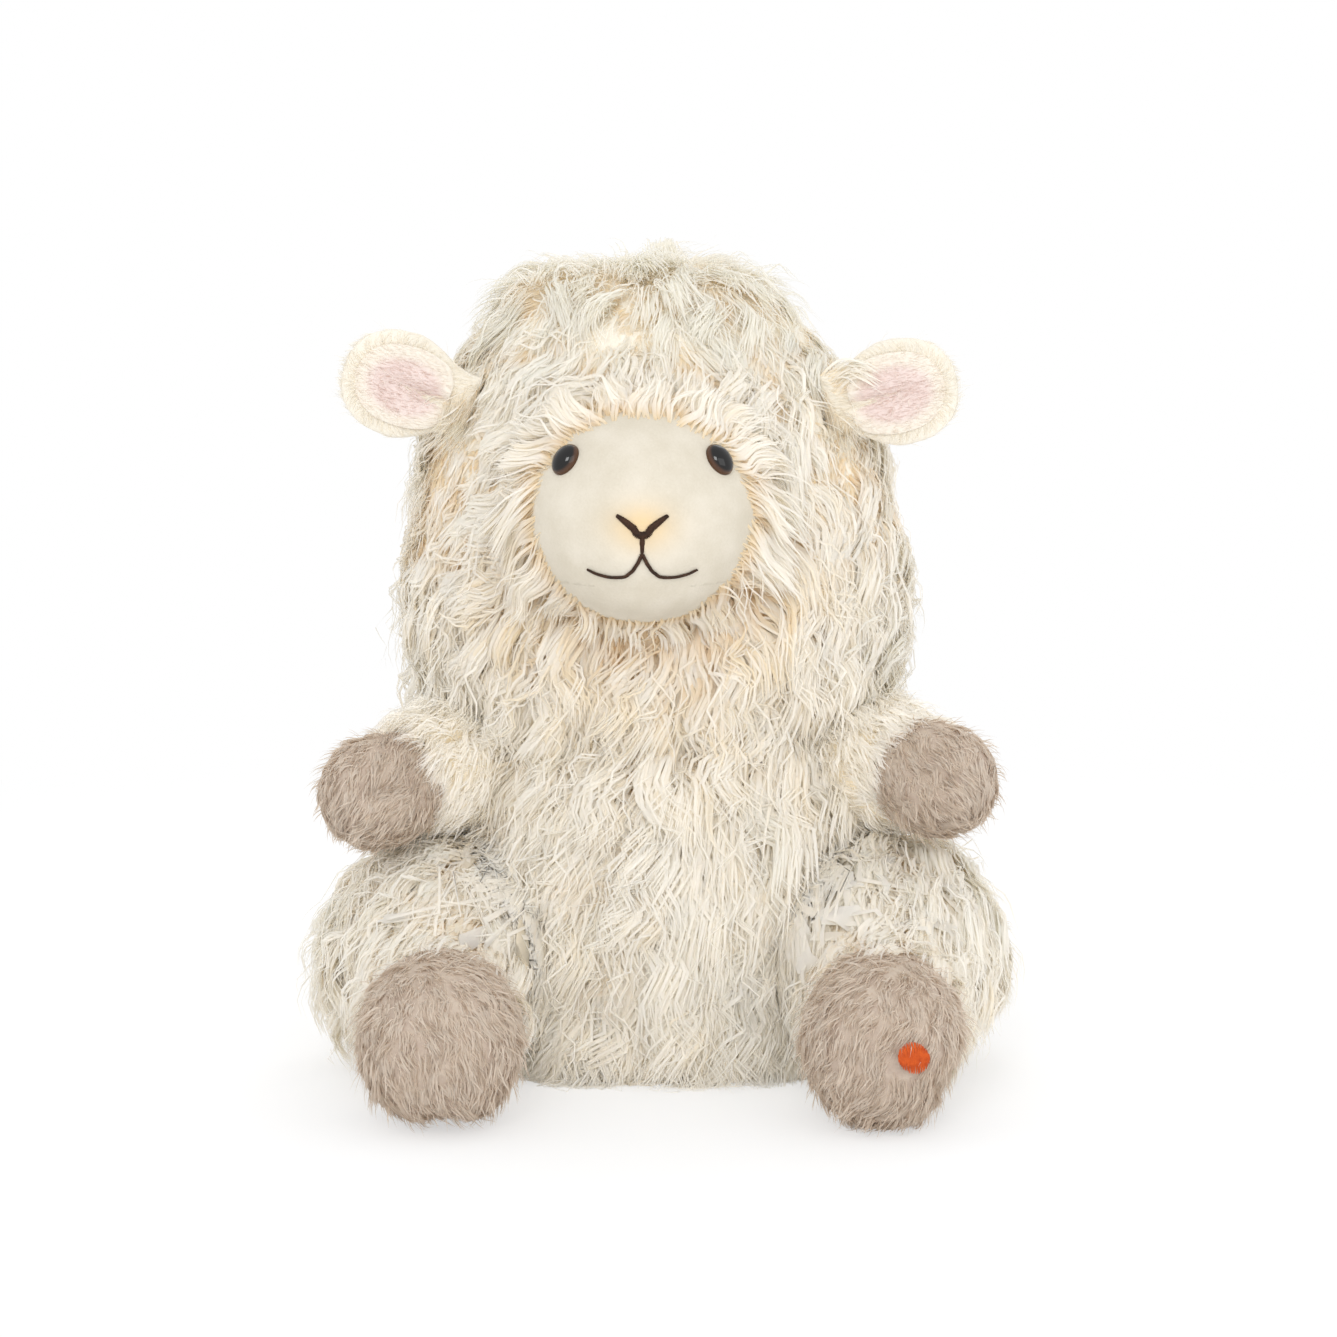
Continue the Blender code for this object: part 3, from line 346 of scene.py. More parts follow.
@dataclass(frozen=True)
class StrandFinish(Finish):
    """Fibre, coloured along its length and by its tone, which its own map holds as V and U, in fine streaks. Towards
    the root it is darker and more golden: painted shade for the depth of the pile.
    """

    root: str = "#c8a066"
    shade: str = "#e6cfa2"
    crest: str = ""
    glow: str = "#fdf5e4"
    streak: float = 0.30
    streaks: float = 110.0

    def make(self) -> Material:
        """Makes the material.

        Returns:
            A material from the dark root to the pale tip, lighter where the tone is high; the dark root is painted
            shade.
        """
        made, maker, _ = self._start()
        place = maker.node("ShaderNodeUVMap", {"uv_map": "OFBake"}, {})
        lines = self.noise(maker, place, self.streaks, 2.0, (1.0, 2.5 / self.streaks, 1.0))
        tone = (place.part("X") + (lines - 0.5) * self.streak * 2.0).highest(0.0).lowest(1.0)
        along = place.part("Y")
        # painted shade: both mixes darken towards the root, where the pile is deep
        dark = maker.mix(along.ramp(-0.1, 0.6), rgba(self.root), rgba(self.shade), "RGBA")
        tips = maker.mix(tone.ramp(0.78, 1.02), rgba(self.high), rgba(self.crest or self.high), "RGBA")
        pale = maker.mix(along.ramp(-0.1, 0.35), rgba(self.low), tips, "RGBA")
        base = maker.mix(tone.ramp(0.15, 0.75), dark, pale, "RGBA")
        rough = maker.mix(along, self.roughness, self.roughness - 0.1)
        sockets = {"Base Color": base, "Roughness": rough, "Sheen Weight": self.sheen, "Specular IOR Level": SPECULAR}
        sockets["Normal"] = self.bump(maker, lines)
        solid = maker.node("ShaderNodeBsdfPrincipled", {}, sockets)
        through = maker.node("ShaderNodeBsdfTranslucent", {}, {"Color": rgba(self.glow)})
        mixed = maker.node("ShaderNodeMixShader", {}, {0: THROUGH, 1: solid, 2: through})
        maker.node("ShaderNodeOutputMaterial", {}, {"Surface": mixed})
        return made


@dataclass(frozen=True)
class FaceFinish(Finish):
    """Short plush that is warmer where the piece's own attribute marks it."""

    warm: str = "#e2c492"

    def make(self) -> Material:
        """Makes the material.

        Returns:
            A pale plush with a warm tint round the nose.
        """
        made, maker, place = self._start()
        fine = self.noise(maker, place, self.grain)
        broad = self.noise(maker, place, self.patch, 2.0)
        base = maker.mix((fine * 0.4 + broad * 0.8).ramp(0.3, 0.9), rgba(self.low), rgba(self.high), "RGBA")
        tint = maker.node("ShaderNodeAttribute", {"attribute_name": "warm"}, {}, "Fac")
        base = maker.mix(tint * (fine * 0.4 + 0.7), base, rgba(self.warm), "RGBA")
        rough = maker.mix(fine.ramp(0.3, 0.7), self.roughness - 0.04, min(1.0, self.roughness + 0.04))
        self._shade(maker, base, rough, self.bump(maker, fine + broad * 0.5))
        return made


@dataclass(frozen=True)
class EyeFinish(Finish):
    """Polished eye: nearly black, with a brown rim that the piece's own attribute marks."""

    def make(self) -> Material:
        """Makes the material.

        Returns:
            A glossy material.
        """
        made, maker, place = self._start()
        rim = maker.node("ShaderNodeAttribute", {"attribute_name": "rim"}, {}, "Fac")
        base = maker.mix(rim.ramp(0.80, 0.97), rgba(self.low), rgba(self.high), "RGBA")
        rough = maker.mix(self.noise(maker, place, self.grain).ramp(0.4, 0.7), self.roughness, self.roughness + 0.03)
        self._shade(maker, base, rough, None)
        return made


@dataclass(frozen=True)
class CanvasFinish(Finish):
    """Plain woven cloth, seen as crossing threads over object coordinates."""

    def make(self) -> Material:
        """Makes the material.

        Returns:
            A woven material.
        """
        made, maker, place = self._start()
        broad = self.noise(maker, place, self.patch, 2.0)
        warp = (place.part("X") * (2 * math.pi * self.grain)).sine()
        weft = (place.part("Y") * (2 * math.pi * self.grain)).sine()
        weave = warp * weft * 0.5 + 0.5
        base = maker.mix(weave * 0.5 + broad * 0.5, rgba(self.low), rgba(self.high), "RGBA")
        rough = maker.mix(weave, self.roughness - 0.05, self.roughness + 0.05)
        self._shade(maker, base, rough, self.bump(maker, weave + broad * 0.4))
        return made


# The golden low and root colours are painted shade deep in the fleece.
WOOL_STRANDS = StrandFinish(
    "ivory_wool", "#efd29c", "#fcfaf6", roughness=0.95, strength=0.05, root="#d09c4c", shade="#f6e1b6",
    crest="#f1f2ee", glow="#faf6ec", streak=0.04,
)
HOOD_CLOTH = Finish("hood_cloth", "#e6dfd0", "#eee9de", grain=420, patch=70, depth=0.0015, sheen=0.3)
# The golden tan of the cloth under the wool is painted shade for the gaps between the locks.
WOOL_CLOTH = Finish("wool_cloth", "#edcb90", "#f8e6bd", grain=420, patch=70, depth=0.0015, sheen=0.3)
FACE_CLOTH = FaceFinish(
    "face_plush", "#c8c0af", "#d5cec0", grain=1300, patch=90, depth=0.0003, strength=0.35, sheen=0.1
)
SLEEVE_CLOTH = Finish("cream_plush", "#f8efdb", "#fdf8ec", grain=1000, patch=90, depth=0.0004, strength=0.35)
SLEEVE_STRANDS = StrandFinish(
    "cream_pile", "#fcf6ea", "#fffefc", strength=0.1, root="#fbf1dc", shade="#fdf8ec", glow="#fefaf1", streak=0.08
)
EAR_CLOTH = Finish("ear_plush", "#ded8cb", "#e9e3d7", grain=1300, patch=90, depth=0.0003, strength=0.35, sheen=0.1)
EAR_STRANDS = StrandFinish(
    "ear_pile", "#ebe5d8", "#f5f0e5", strength=0.1, root="#e6dfd0", shade="#eee8db", glow="#f2ece0", streak=0.06
)
PINK_CLOTH = FaceFinish("pink_lining", "#d6c2bc", "#e3d4cf", grain=700, patch=120, depth=0.0004, warm="#e5dfd3")
PINK_STRANDS = StrandFinish(
    "pink_pile", "#e8e1d4", "#f1ebdf", strength=0.1, root="#d6beb7", shade="#e1cfc9", glow="#eaddd5", streak=0.08
)
TAUPE_CLOTH = Finish("taupe_plush", "#ab998c", "#c7b9a9", grain=700, patch=110, depth=0.0008)
TAUPE_STRANDS = StrandFinish(
    "taupe_pile", "#d8cabb", "#f0e6d9", strength=0.2, root="#b39e86", shade="#cdbba7", glow="#d6c6b5", streak=0.15
)
EYE_GLOSS = EyeFinish("black_gloss", "#020101", "#4a2e1a", roughness=0.08, coat=0.5)
NYLON = Finish("white_nylon", "#d9d8d2", "#eeede8", roughness=0.42, grain=500, depth=0.00005)
BROWN_THREAD = Finish("brown_thread", "#20130b", "#4a3020", roughness=0.6, grain=3500, patch=500, depth=0.0001)
RUST_THREAD = Finish("rust_thread", "#a83c12", "#d4601f", roughness=0.55, grain=3500, patch=500, depth=0.0001)
FIBREFILL = Finish("white_fibrefill", "#d8d8d2", "#f6f6f3", roughness=0.95, grain=500, patch=90, depth=0.002)
CANVAS = CanvasFinish("cream_canvas", "#cdbf9f", "#e8ddc4", roughness=0.88, grain=900, patch=60, depth=0.0002)


# ---------------------------------------------------------------- meshes


def unit(rows: Array) -> Array:
    """Each row as a direction."""
    return rows / np.maximum(np.linalg.norm(rows, axis=-1, keepdims=True), 1e-9)


def lengths(rows: Array) -> Array:
    """The length of each row."""
    return np.linalg.norm(rows, axis=1)


def smooth_step(values: Array, low: float, high: float) -> Array:
    """0 below low, 1 above high, and smooth between them."""
    share = np.clip((values - low) / (high - low), 0.0, 1.0)
    return share * share * (3 - 2 * share)


def spline(table: Sequence[Sequence[float]], count: int) -> Array:
    """Rows read from a smooth curve through the rows of a table.

    Args:
        table: the rows that the curve passes through.
        count: how many rows are wanted.

    Returns:
        The rows, evenly spaced along the table's own length.
    """
    rows = np.array(table, float)
    steps = np.maximum(np.linalg.norm(np.diff(rows / np.maximum(np.ptp(rows, axis=0), 1e-9), axis=0), axis=1), 1e-6)
    knots = np.concatenate([[0.0], np.cumsum(steps)])
    slopes = np.gradient(rows, knots, axis=0)
    wanted = np.linspace(0.0, knots[-1], count)
    at = np.clip(np.searchsorted(knots, wanted, side="right") - 1, 0, len(knots) - 2)
    width = (knots[at + 1] - knots[at])[:, None]
    t = ((wanted - knots[at]) / width[:, 0])[:, None]
    a, b = rows[at], rows[at + 1]
    p, q = slopes[at] * width, slopes[at + 1] * width
    return (2 * t**3 - 3 * t**2 + 1) * a + (t**3 - 2 * t**2 + t) * p + (-2 * t**3 + 3 * t**2) * b + (t**3 - t**2) * q


def side_axes(direction: Array) -> tuple[Array, Array]:
    """Two axes square to a direction, the second as upright as it can be."""
    upright = UP if np.hypot(direction[0], direction[1]) > 0.3 * abs(direction[2]) else np.array([0.0, 1.0, 0.0])
    across = unit(np.cross(direction, upright))
    return across, unit(np.cross(across, direction))


def ring(
    centre: Array, across: Array, along: Array, facets: int, shape: Optional[Callable[[Array], Array]] = None
) -> Array:
    """Points of an ellipse round a centre, whose reach a function of the angle may change."""
    angle = 2 * math.pi * np.arange(facets) / facets
    reach = shape(angle) if shape else np.ones(facets)
    return centre + (np.outer(np.cos(angle), across) + np.outer(np.sin(angle), along)) * reach[:, None]


def level_ring(centre: Array, across: float, along: float, facets: int) -> Array:
    """Points of a level oval, from its half width and half depth."""
    return ring(centre, across * LEFT, np.array([0, along, 0]), facets)


def front_ring(centre: Array, across: float, up: float, facets: int) -> Array:
    """Points of an oval that faces the front, from its half width and half height."""
    return ring(centre, across * LEFT, up * UP, facets)


def read_table(table: Sequence[Sequence[float]], share: Numbers, column: int = 1) -> Array:
    """A column of a table at places of its first column."""
    rows = np.array(table)
    return np.interp(share, rows[:, 0], rows[:, column])


@dataclass
class Form:
    """Points and faces of a surface, in millimetres."""

    points: Array
    faces: list[tuple[int, ...]]

    @classmethod
    def loft(cls, rings: Sequence[Array]) -> "Form":
        """A skin over rings, of which the first and last may be single points.

        Args:
            rings: arrays of points.

        Returns:
            The form, with its faces outwards where the rings turn against the way that they rise.
        """
        rows = [np.atleast_2d(r) for r in rings]
        starts = np.concatenate([[0], np.cumsum([len(r) for r in rows])])
        faces: list[tuple[int, ...]] = []
        for low, high in zip(range(len(rows)), range(1, len(rows))):
            n, m = len(rows[low]), len(rows[high])
            for i in range(max(n, m)):
                j = (i + 1) % max(n, m)
                corners = [starts[low] + i % n, starts[low] + j % n, starts[high] + j % m, starts[high] + i % m]
                faces.append(tuple(int(c) for c in dict.fromkeys(corners)))
        return cls(np.concatenate(rows), faces)

    @classmethod
    def capped(cls, rings: Sequence[Array], beyond: Numbers = 0.0) -> "Form":
        """A skin over rings, closed by a point in the first and one beyond the last."""
        return cls.loft([rings[0].mean(axis=0), *rings, rings[-1].mean(axis=0) + beyond])

    @classmethod
    def of_node(cls, name: str) -> "Form":
        """A merged copy of a CAD node's surface."""
        bm = bmesh.new()
        bm.from_mesh(frame["nodes"][name].data)
        bmesh.ops.remove_doubles(bm, verts=bm.verts, dist=1e-6)
        bmesh.ops.recalc_face_normals(bm, faces=bm.faces)
        bm.verts.index_update()
        points = np.array([v.co for v in bm.verts]) / MM
        faces = [tuple(v.index for v in f.verts) for f in bm.faces]
        bm.free()
        return cls(points, faces)

    def mesh(self, name: str, scale: float = MM) -> Mesh:
        """A Blender mesh of the form, its faces turned outwards."""
        made = bpy.data.meshes.new(name)
        made.from_pydata((self.points * scale).tolist(), [], self.faces)
        bm = bmesh.new()
        bm.from_mesh(made)
        bmesh.ops.recalc_face_normals(bm, faces=bm.faces)
        bm.to_mesh(made)
        bm.free()
        made.shade_smooth()
        return made

    def normals(self) -> Array:
        """The way out of the surface at each point."""
        made = self.mesh("measure", 1.0)
        found = np.zeros(len(made.vertices) * 3)
        made.vertices.foreach_get("normal", found)
        bpy.data.meshes.remove(made)
        return found.reshape(-1, 3)


def put(name: str, data: bpy.types.ID) -> Thing:
    """A new object of the scene with the given data."""
    made = bpy.data.objects.new(name, data)
    bpy.context.scene.collection.objects.link(made)
    return made


def mark(mesh: Mesh, name: str, values: Array) -> None:
    """Stores a number or a vector for each point of a mesh."""
    kind, key = ("FLOAT_VECTOR", "vector") if values.ndim > 1 else ("FLOAT", "value")
    mesh.attributes.new(name, kind, "POINT").data.foreach_set(key, values.astype(np.float32).ravel())


def add_piece(
    name: str, mesh: Mesh, finish: Material, body: str, nodes: Sequence[str] = (),
) -> Thing:
    """Puts a finished piece in the scene and says what it rides on and stands for.

    Args:
        name: the piece's name.
        mesh: its mesh, in metres and in its place.
        finish: its material.
        body: the body that it rides on.
        nodes: the CAD nodes that it replaces.

    Returns:
        The piece.
    """
    mesh.name = name
    if not mesh.materials:
        mesh.materials.append(finish)
    made = put(name, mesh)
    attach(made, body)
    if nodes:
        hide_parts(*nodes)
    LOG.info("%s: %d faces, on %s", name, len(mesh.polygons), body)
    return made


def refine(mesh: Mesh, levels: int, lumps: float = 0.0, size: float = 0.01) -> Mesh:
    """Subdivides a mesh and makes it lumpy.

    Args:
        mesh: a mesh in metres, which is used up.
        levels: levels of subdivision.
        lumps: the height of the lumps, in metres; they go inwards only.
        size: the size of a lump, in metres.

    Returns:
        The finished mesh.
    """
    made = put("refine", mesh)
    smooth = made.modifiers.new("smooth", "SUBSURF")
    smooth.levels = smooth.render_levels = levels
    smooth.subdivision_type = "SIMPLE"
    if lumps:
        cloud = bpy.data.textures.new("lumps", "CLOUDS")
        cloud.noise_scale = size
        raised = made.modifiers.new("lumps", "DISPLACE")
        raised.texture = cloud
        raised.texture_coords = "LOCAL"
        raised.strength = lumps
        raised.mid_level = 1.0
    evaluated = made.evaluated_get(bpy.context.evaluated_depsgraph_get())
    done = bpy.data.meshes.new_from_object(evaluated)
    bpy.data.objects.remove(made)
    done.shade_smooth()
    return done


# ---------------------------------------------------------------- strands


@dataclass
class Pelt:
    """A skin that strands grow from, with what each of its points grows.

    comb is the way that the strands lie, span their length, rise how far they lift, bend how much they
    follow the skin's curve, curl the reach of their waves, tone their paleness, amount their share and girth
    their width as a share of the usual. The strands lie over the balls, which have a centre and a radius.
    """

    form: Form
    comb: Array
    span: Numbers
    rise: Numbers
    bend: Numbers
    curl: Numbers
    tone: Numbers
    amount: Numbers
    girth: Numbers = 1.0
    balls: list[tuple[Array, float]] = field(default_factory=list)

    WORDS = ("span", "rise", "bend", "curl", "tone", "amount", "girth")

    def __post_init__(self) -> None:
        """Gives each point its own value where one stands for all."""
        count = len(self.form.points)
        self.comb = np.broadcast_to(self.comb, (count, 3))
        for word in self.WORDS:
            setattr(self, word, np.broadcast_to(getattr(self, word), count))

    def emitter(self, name: str) -> Thing:
        """The skin as an object with the attributes that the strands read."""
        made = self.form.mesh(name, 1.0)
        normals = self.form.normals()
        comb = unit(self.comb - normals * np.sum(self.comb * normals, axis=1, keepdims=True))
        mark(made, "comb", comb)
        for word in self.WORDS:
            mark(made, word, getattr(self, word))
        return put(name, made)


@dataclass(frozen=True)
class Growth:
    """How a pelt's strands are grown: their number for each square millimetre, their locks and their make.

    lock is the distance between locks and radius half the width of a strand, which is a thin flat fibre;
    twist is how far fibres turn about themselves, wave the length of a wave, clump how far the strands of a
    lock run together, stray how far locks differ in their way, sag how they hang, own how far a strand keeps
    its own wave and spread the tones across it.
    """

    density: float
    lock: float
    points: int
    radius: float
    twist: float
    wave: float
    clump: float
    stray: float
    sag: float
    own: float
    spread: float


GROWTHS = {
    Pile.LOCKS: Growth(
        density=0.500, lock=9.0, points=9, radius=0.58, twist=0.5, wave=18.0,
        clump=0.60, stray=0.50, sag=0.20, own=0.16, spread=0.030,
    ),
    Pile.CURLED: Growth(
        density=0.080, lock=5.5, points=12, radius=0.38, twist=0.9, wave=13.0,
        clump=0.86, stray=0.80, sag=0.16, own=0.16, spread=0.015,
    ),
    Pile.COMBED: Growth(
        density=1.500, lock=4.5, points=4, radius=0.24, twist=1.2, wave=20.0,
        clump=0.55, stray=0.95, sag=0.10, own=0.60, spread=0.020,
    ),
    Pile.FUZZ: Growth(
        density=1.400, lock=3.0, points=4, radius=0.13, twist=1.2, wave=40.0,
        clump=0.15, stray=0.40, sag=0.00, own=0.50, spread=0.010,
    ),
}
WOOL_PILES = (Pile.LOCKS, Pile.CURLED)
SEED_STEP = 17
LUMP_HEIGHT, LUMP_SIZE = 0.0018, 0.012  # of the fibre fillings, in metres


class Strands:
    """Grows strands on pelts with one tree of Geometry Nodes."""

    LOCK_TONE = 0.06  # how far the locks' tones differ, and then the strands' within a lock
    STRAND_TONE = 0.08
    EDGE_SHADE = 0.16  # painted shade in the gaps between locks: how much darker a lock's outer strands are
    LIGHTER = 0.06  # added to every tone
    TONES = (0.06, 0.94)  # the range that a tone keeps to
    SPAN_CHANCE = 0.28  # how far lengths differ
    LOOSE = 0.86  # strands whose chance is above this stand out, by this many millimetres at the tip
    STAND = 3.5
    LOWEST = 0.7  # of a strand's middle line, and then of its mesh, in millimetres above the floor
    FLOOR = 0.3
    PRESS = 0.3  # how far a strand inside a ball stays inside it

    INPUTS = (
        ("Pelt", "NodeSocketGeometry"),
        ("Strands per square millimetre", "NodeSocketFloat"),
        ("Lock spacing", "NodeSocketFloat"),
        ("Points of a strand", "NodeSocketInt"),
        ("Strand radius", "NodeSocketFloat"),
        ("Twist", "NodeSocketFloat"),
        ("Wave length", "NodeSocketFloat"),
        ("Clump", "NodeSocketFloat"),
        ("Stray", "NodeSocketFloat"),
        ("Sag", "NodeSocketFloat"),
        ("Own way", "NodeSocketFloat"),
        ("Tone spread", "NodeSocketFloat"),
        ("Seed", "NodeSocketInt"),
        ("Finish", "NodeSocketMaterial"),
    )

    def __init__(self) -> None:
        """Builds the tree."""
        self.tree = bpy.data.node_groups.new("strands", "GeometryNodeTree")
        for name, kind in self.INPUTS:
            self.tree.interface.new_socket(name, in_out="INPUT", socket_type=kind)
        self.tree.interface.new_socket("Grown", in_out="OUTPUT", socket_type="NodeSocketGeometry")
        self.maker = Maker(self.tree)
        self.given = self.maker.node("NodeGroupInput", out="Pelt")
        grown = self._build()
        self.maker.node("NodeGroupOutput", {}, {"Grown": grown})

    def _read(self, name: str, kind: str = "FLOAT") -> Wire:
        """A named attribute."""
        return self.maker.node("GeometryNodeInputNamedAttribute", {"data_type": kind}, {"Name": name}, "Attribute")

    def _vector(self, name: str) -> Wire:
        """A named attribute that is a vector."""
        return self._read(name, "FLOAT_VECTOR")

    def _keep(self, geometry: Wire, name: str, value: Value, kind: str = "FLOAT", domain: str = "POINT") -> Wire:
        """Stores a named attribute."""
        settings = {"data_type": kind, "domain": domain}
        return self.maker.node(
            "GeometryNodeStoreNamedAttribute", settings, {"Geometry": geometry, "Name": name, "Value": value}
        )

    def _chance(self, seed: Value) -> Wire:
        """Three random numbers from -1 to 1."""
        sockets = {"Min": (-1.0, -1.0, -1.0), "Max": (1.0, 1.0, 1.0), "Seed": seed}
        return self.maker.node("FunctionNodeRandomValue", {"data_type": "FLOAT_VECTOR"}, sockets)

    def _path(self, prefix: str, share: Wire) -> tuple[Wire, Wire, Wire]:
        """Where a strand or its lock runs.

        Args:
            prefix: names the set of attributes that is read.
            share: the share of the way along it.

        Returns:
            The place, the way that it runs and the length run.
        """
        read, vector = self._read, self._vector
        comb, normal = vector(prefix + "comb"), vector(prefix + "normal")
        chance = vector(prefix + "chance")
        stray = self.given.out("Stray")
        sideways = comb.cross(normal) * (chance.part("X") * stray)
        way = (comb + sideways + normal * (chance.part("Y") * stray * 0.35)).unit()
        span = read(prefix + "span") * (chance.part("Z") * self.SPAN_CHANCE + 1.0)
        run = span * share
        left = 1.0 - share
        out = read(prefix + "rise") * (1.0 - left * left * left) - read(prefix + "bend") * run * run * 0.5
        sag = self.given.out("Sag") * run * share
        place = (
            vector(prefix + "root") + way * run + normal * out
            - self.maker.node("ShaderNodeCombineXYZ", {}, {"Z": sag})
        )
        return place, way, run

    def _build(self) -> Wire:
        """Builds the tree's nodes.

        Returns:
            The grown strands as a mesh.
        """
        maker, given = self.maker, self.given
        spacing = given.out("Lock spacing")
        seed = given.out("Seed")
        settings = {"distribute_method": "POISSON"}
        sockets = {
            "Mesh": given, "Distance Min": spacing, "Density Max": 5.0 / (spacing * spacing),
            "Density Factor": self._read("amount"), "Seed": seed,
        }
        spread = maker.node("GeometryNodeDistributePointsOnFaces", settings, sockets, "Points")
        place = maker.node("GeometryNodeInputPosition")
        locks = self._keep(spread, "normal", spread.out("Normal"), "FLOAT_VECTOR")
        locks = self._keep(locks, "root", place, "FLOAT_VECTOR")
        locks = self._keep(locks, "chance", self._chance(seed + 7.0), "FLOAT_VECTOR")

        density = given.out("Strands per square millimetre") * self._read("amount")
        spread = maker.node(
            "GeometryNodeDistributePointsOnFaces", {"distribute_method": "RANDOM"},
            {"Mesh": given, "Density": density, "Seed": seed + 1.0}, "Points",
        )
        strands = self._keep(spread, "normal", spread.out("Normal"), "FLOAT_VECTOR")
        strands = self._keep(strands, "root", place, "FLOAT_VECTOR")
        strands = self._keep(strands, "chance", self._chance(seed + 13.0), "FLOAT_VECTOR")
        strands = self._keep(strands, "other", self._chance(seed + 29.0), "FLOAT_VECTOR")
        nearest = maker.node(
            "GeometryNodeSampleNearest", {"domain": "POINT"},
            {"Geometry": locks, "Sample Position": place + self._vector("other") * (spacing * 0.22)},
        )
        kinds = {"root": "FLOAT_VECTOR", "normal": "FLOAT_VECTOR", "comb": "FLOAT_VECTOR", "chance": "FLOAT_VECTOR"}
        kinds.update({word: "FLOAT" for word in ("span", "rise", "bend", "curl")})
        for word, kind in kinds.items():
            sampled = maker.node(
                "GeometryNodeSampleIndex", {"data_type": kind, "domain": "POINT"},
                {"Geometry": locks, "Value": self._read(word, kind), "Index": nearest},
            )
            strands = self._keep(strands, "lock_" + word, sampled, kind)

        line = maker.node("GeometryNodeCurvePrimitiveLine", {}, {"Start": (0.0, 0.0, 0.0), "End": (0.0, 0.0, 1.0)})
        line = maker.node("GeometryNodeResampleCurve", {}, {"Curve": line, "Count": given.out("Points of a strand")})
        placed = maker.node("GeometryNodeInstanceOnPoints", {}, {"Points": strands, "Instance": line})
        fibres = maker.node("GeometryNodeRealizeInstances", {}, {"Geometry": placed})
        share = maker.node("GeometryNodeSplineParameter", out="Factor")
        other, chance = self._vector("other"), self._vector("chance")
        lock_chance = self._vector("lock_chance")
        own, _, _ = self._path("", share)
        lock, way, run = self._path("lock_", share)
        loose = other.part("Z").over(self.LOOSE)
        together = share.ramp(-0.15, 0.7) * given.out("Clump") * (1.0 - loose * 0.6)
        middle = maker.mix(together, own, lock, "VECTOR")
        across = way.cross(self._vector("lock_normal"))
        turn = run * (2 * math.pi) / given.out("Wave length") * (lock_chance.part("X") * 0.25 + 1.0)
        turn = turn + lock_chance.part("Y") * 3.1 + chance.part("Y") * given.out("Own way") * 2.4
        reach = self._read("lock_curl") * share.ramp(-0.05, 0.3) * (other.part("X") * given.out("Own way") + 1.0)
        reach = reach * (lock_chance.part("Y") * 0.5 + 1.0)
        wave = across * (turn.sine() * reach) + self._vector("lock_normal") * (turn.cosine() * reach * 0.75)
        where = middle + wave + self._vector("normal") * (loose * share * self.STAND)
        level = where.part("Z").highest(self.LOWEST)
        where = maker.node("ShaderNodeCombineXYZ", {}, {"X": where.part("X"), "Y": where.part("Y"), "Z": level})
        fibres = maker.node("GeometryNodeSetPosition", {}, {"Geometry": fibres, "Position": where})
        fibres = self._keep(fibres, "along", share)
        fibres = maker.node(
            "GeometryNodeSetCurveNormal", {"mode": "FREE"}, {"Curve": fibres, "Normal": self._vector("lock_normal")}
        )
        width = (
            given.out("Strand radius") * self._read("girth") * (other.part("Y") * 0.4 + 1.0) * (1.0 - loose * 0.35)
        )
        width = width * (share.ramp(-0.3, 0.25) - share * share * share * 0.93)
        fibres = maker.node(
            "GeometryNodeSetCurveTilt", {}, {"Curve": fibres, "Tilt": chance.part("Z") * given.out("Twist")}
        )
        flat = maker.node("GeometryNodeCurvePrimitiveLine", {}, {"Start": (0.0, -1.0, 0.0), "End": (0.0, 1.0, 0.0)})
        flat = self._keep(flat, "across", place.part("Y"))
        made = maker.node(
            "GeometryNodeCurveToMesh", {},
            {"Curve": fibres, "Profile Curve": flat, "Scale": width, "Fill Caps": False},
        )
        edge = (self._vector("root") - self._vector("lock_root")).length() / spacing
        tone = self._read("tone") + lock_chance.part("Z") * self.LOCK_TONE + chance.part("X") * self.STRAND_TONE
        # The outer strands of each lock are darkened: painted shade in the gaps between locks.
        tone = tone - edge.ramp(0.45, 0.75) * self.EDGE_SHADE
        tone = (tone + self.LIGHTER).highest(self.TONES[0]).lowest(self.TONES[1])
        spot = maker.node(
            "ShaderNodeCombineXYZ", {},
            {"X": tone + self._read("across") * given.out("Tone spread"), "Y": self._read("along") * 0.94 + 0.03},
        )
        made = self._keep(made, "OFBake", spot, "FLOAT2", "CORNER")
        inwards = maker.node("GeometryNodeInputNormal").dot(self._vector("normal")) * -1.0
        made = maker.node("GeometryNodeFlipFaces", {}, {"Mesh": made, "Selection": inwards.over(0.0)})
        made = maker.node("GeometryNodeRealizeInstances", {}, {"Geometry": made})
        return maker.node("GeometryNodeSetMaterial", {}, {"Geometry": made, "Material": given.out("Finish")})

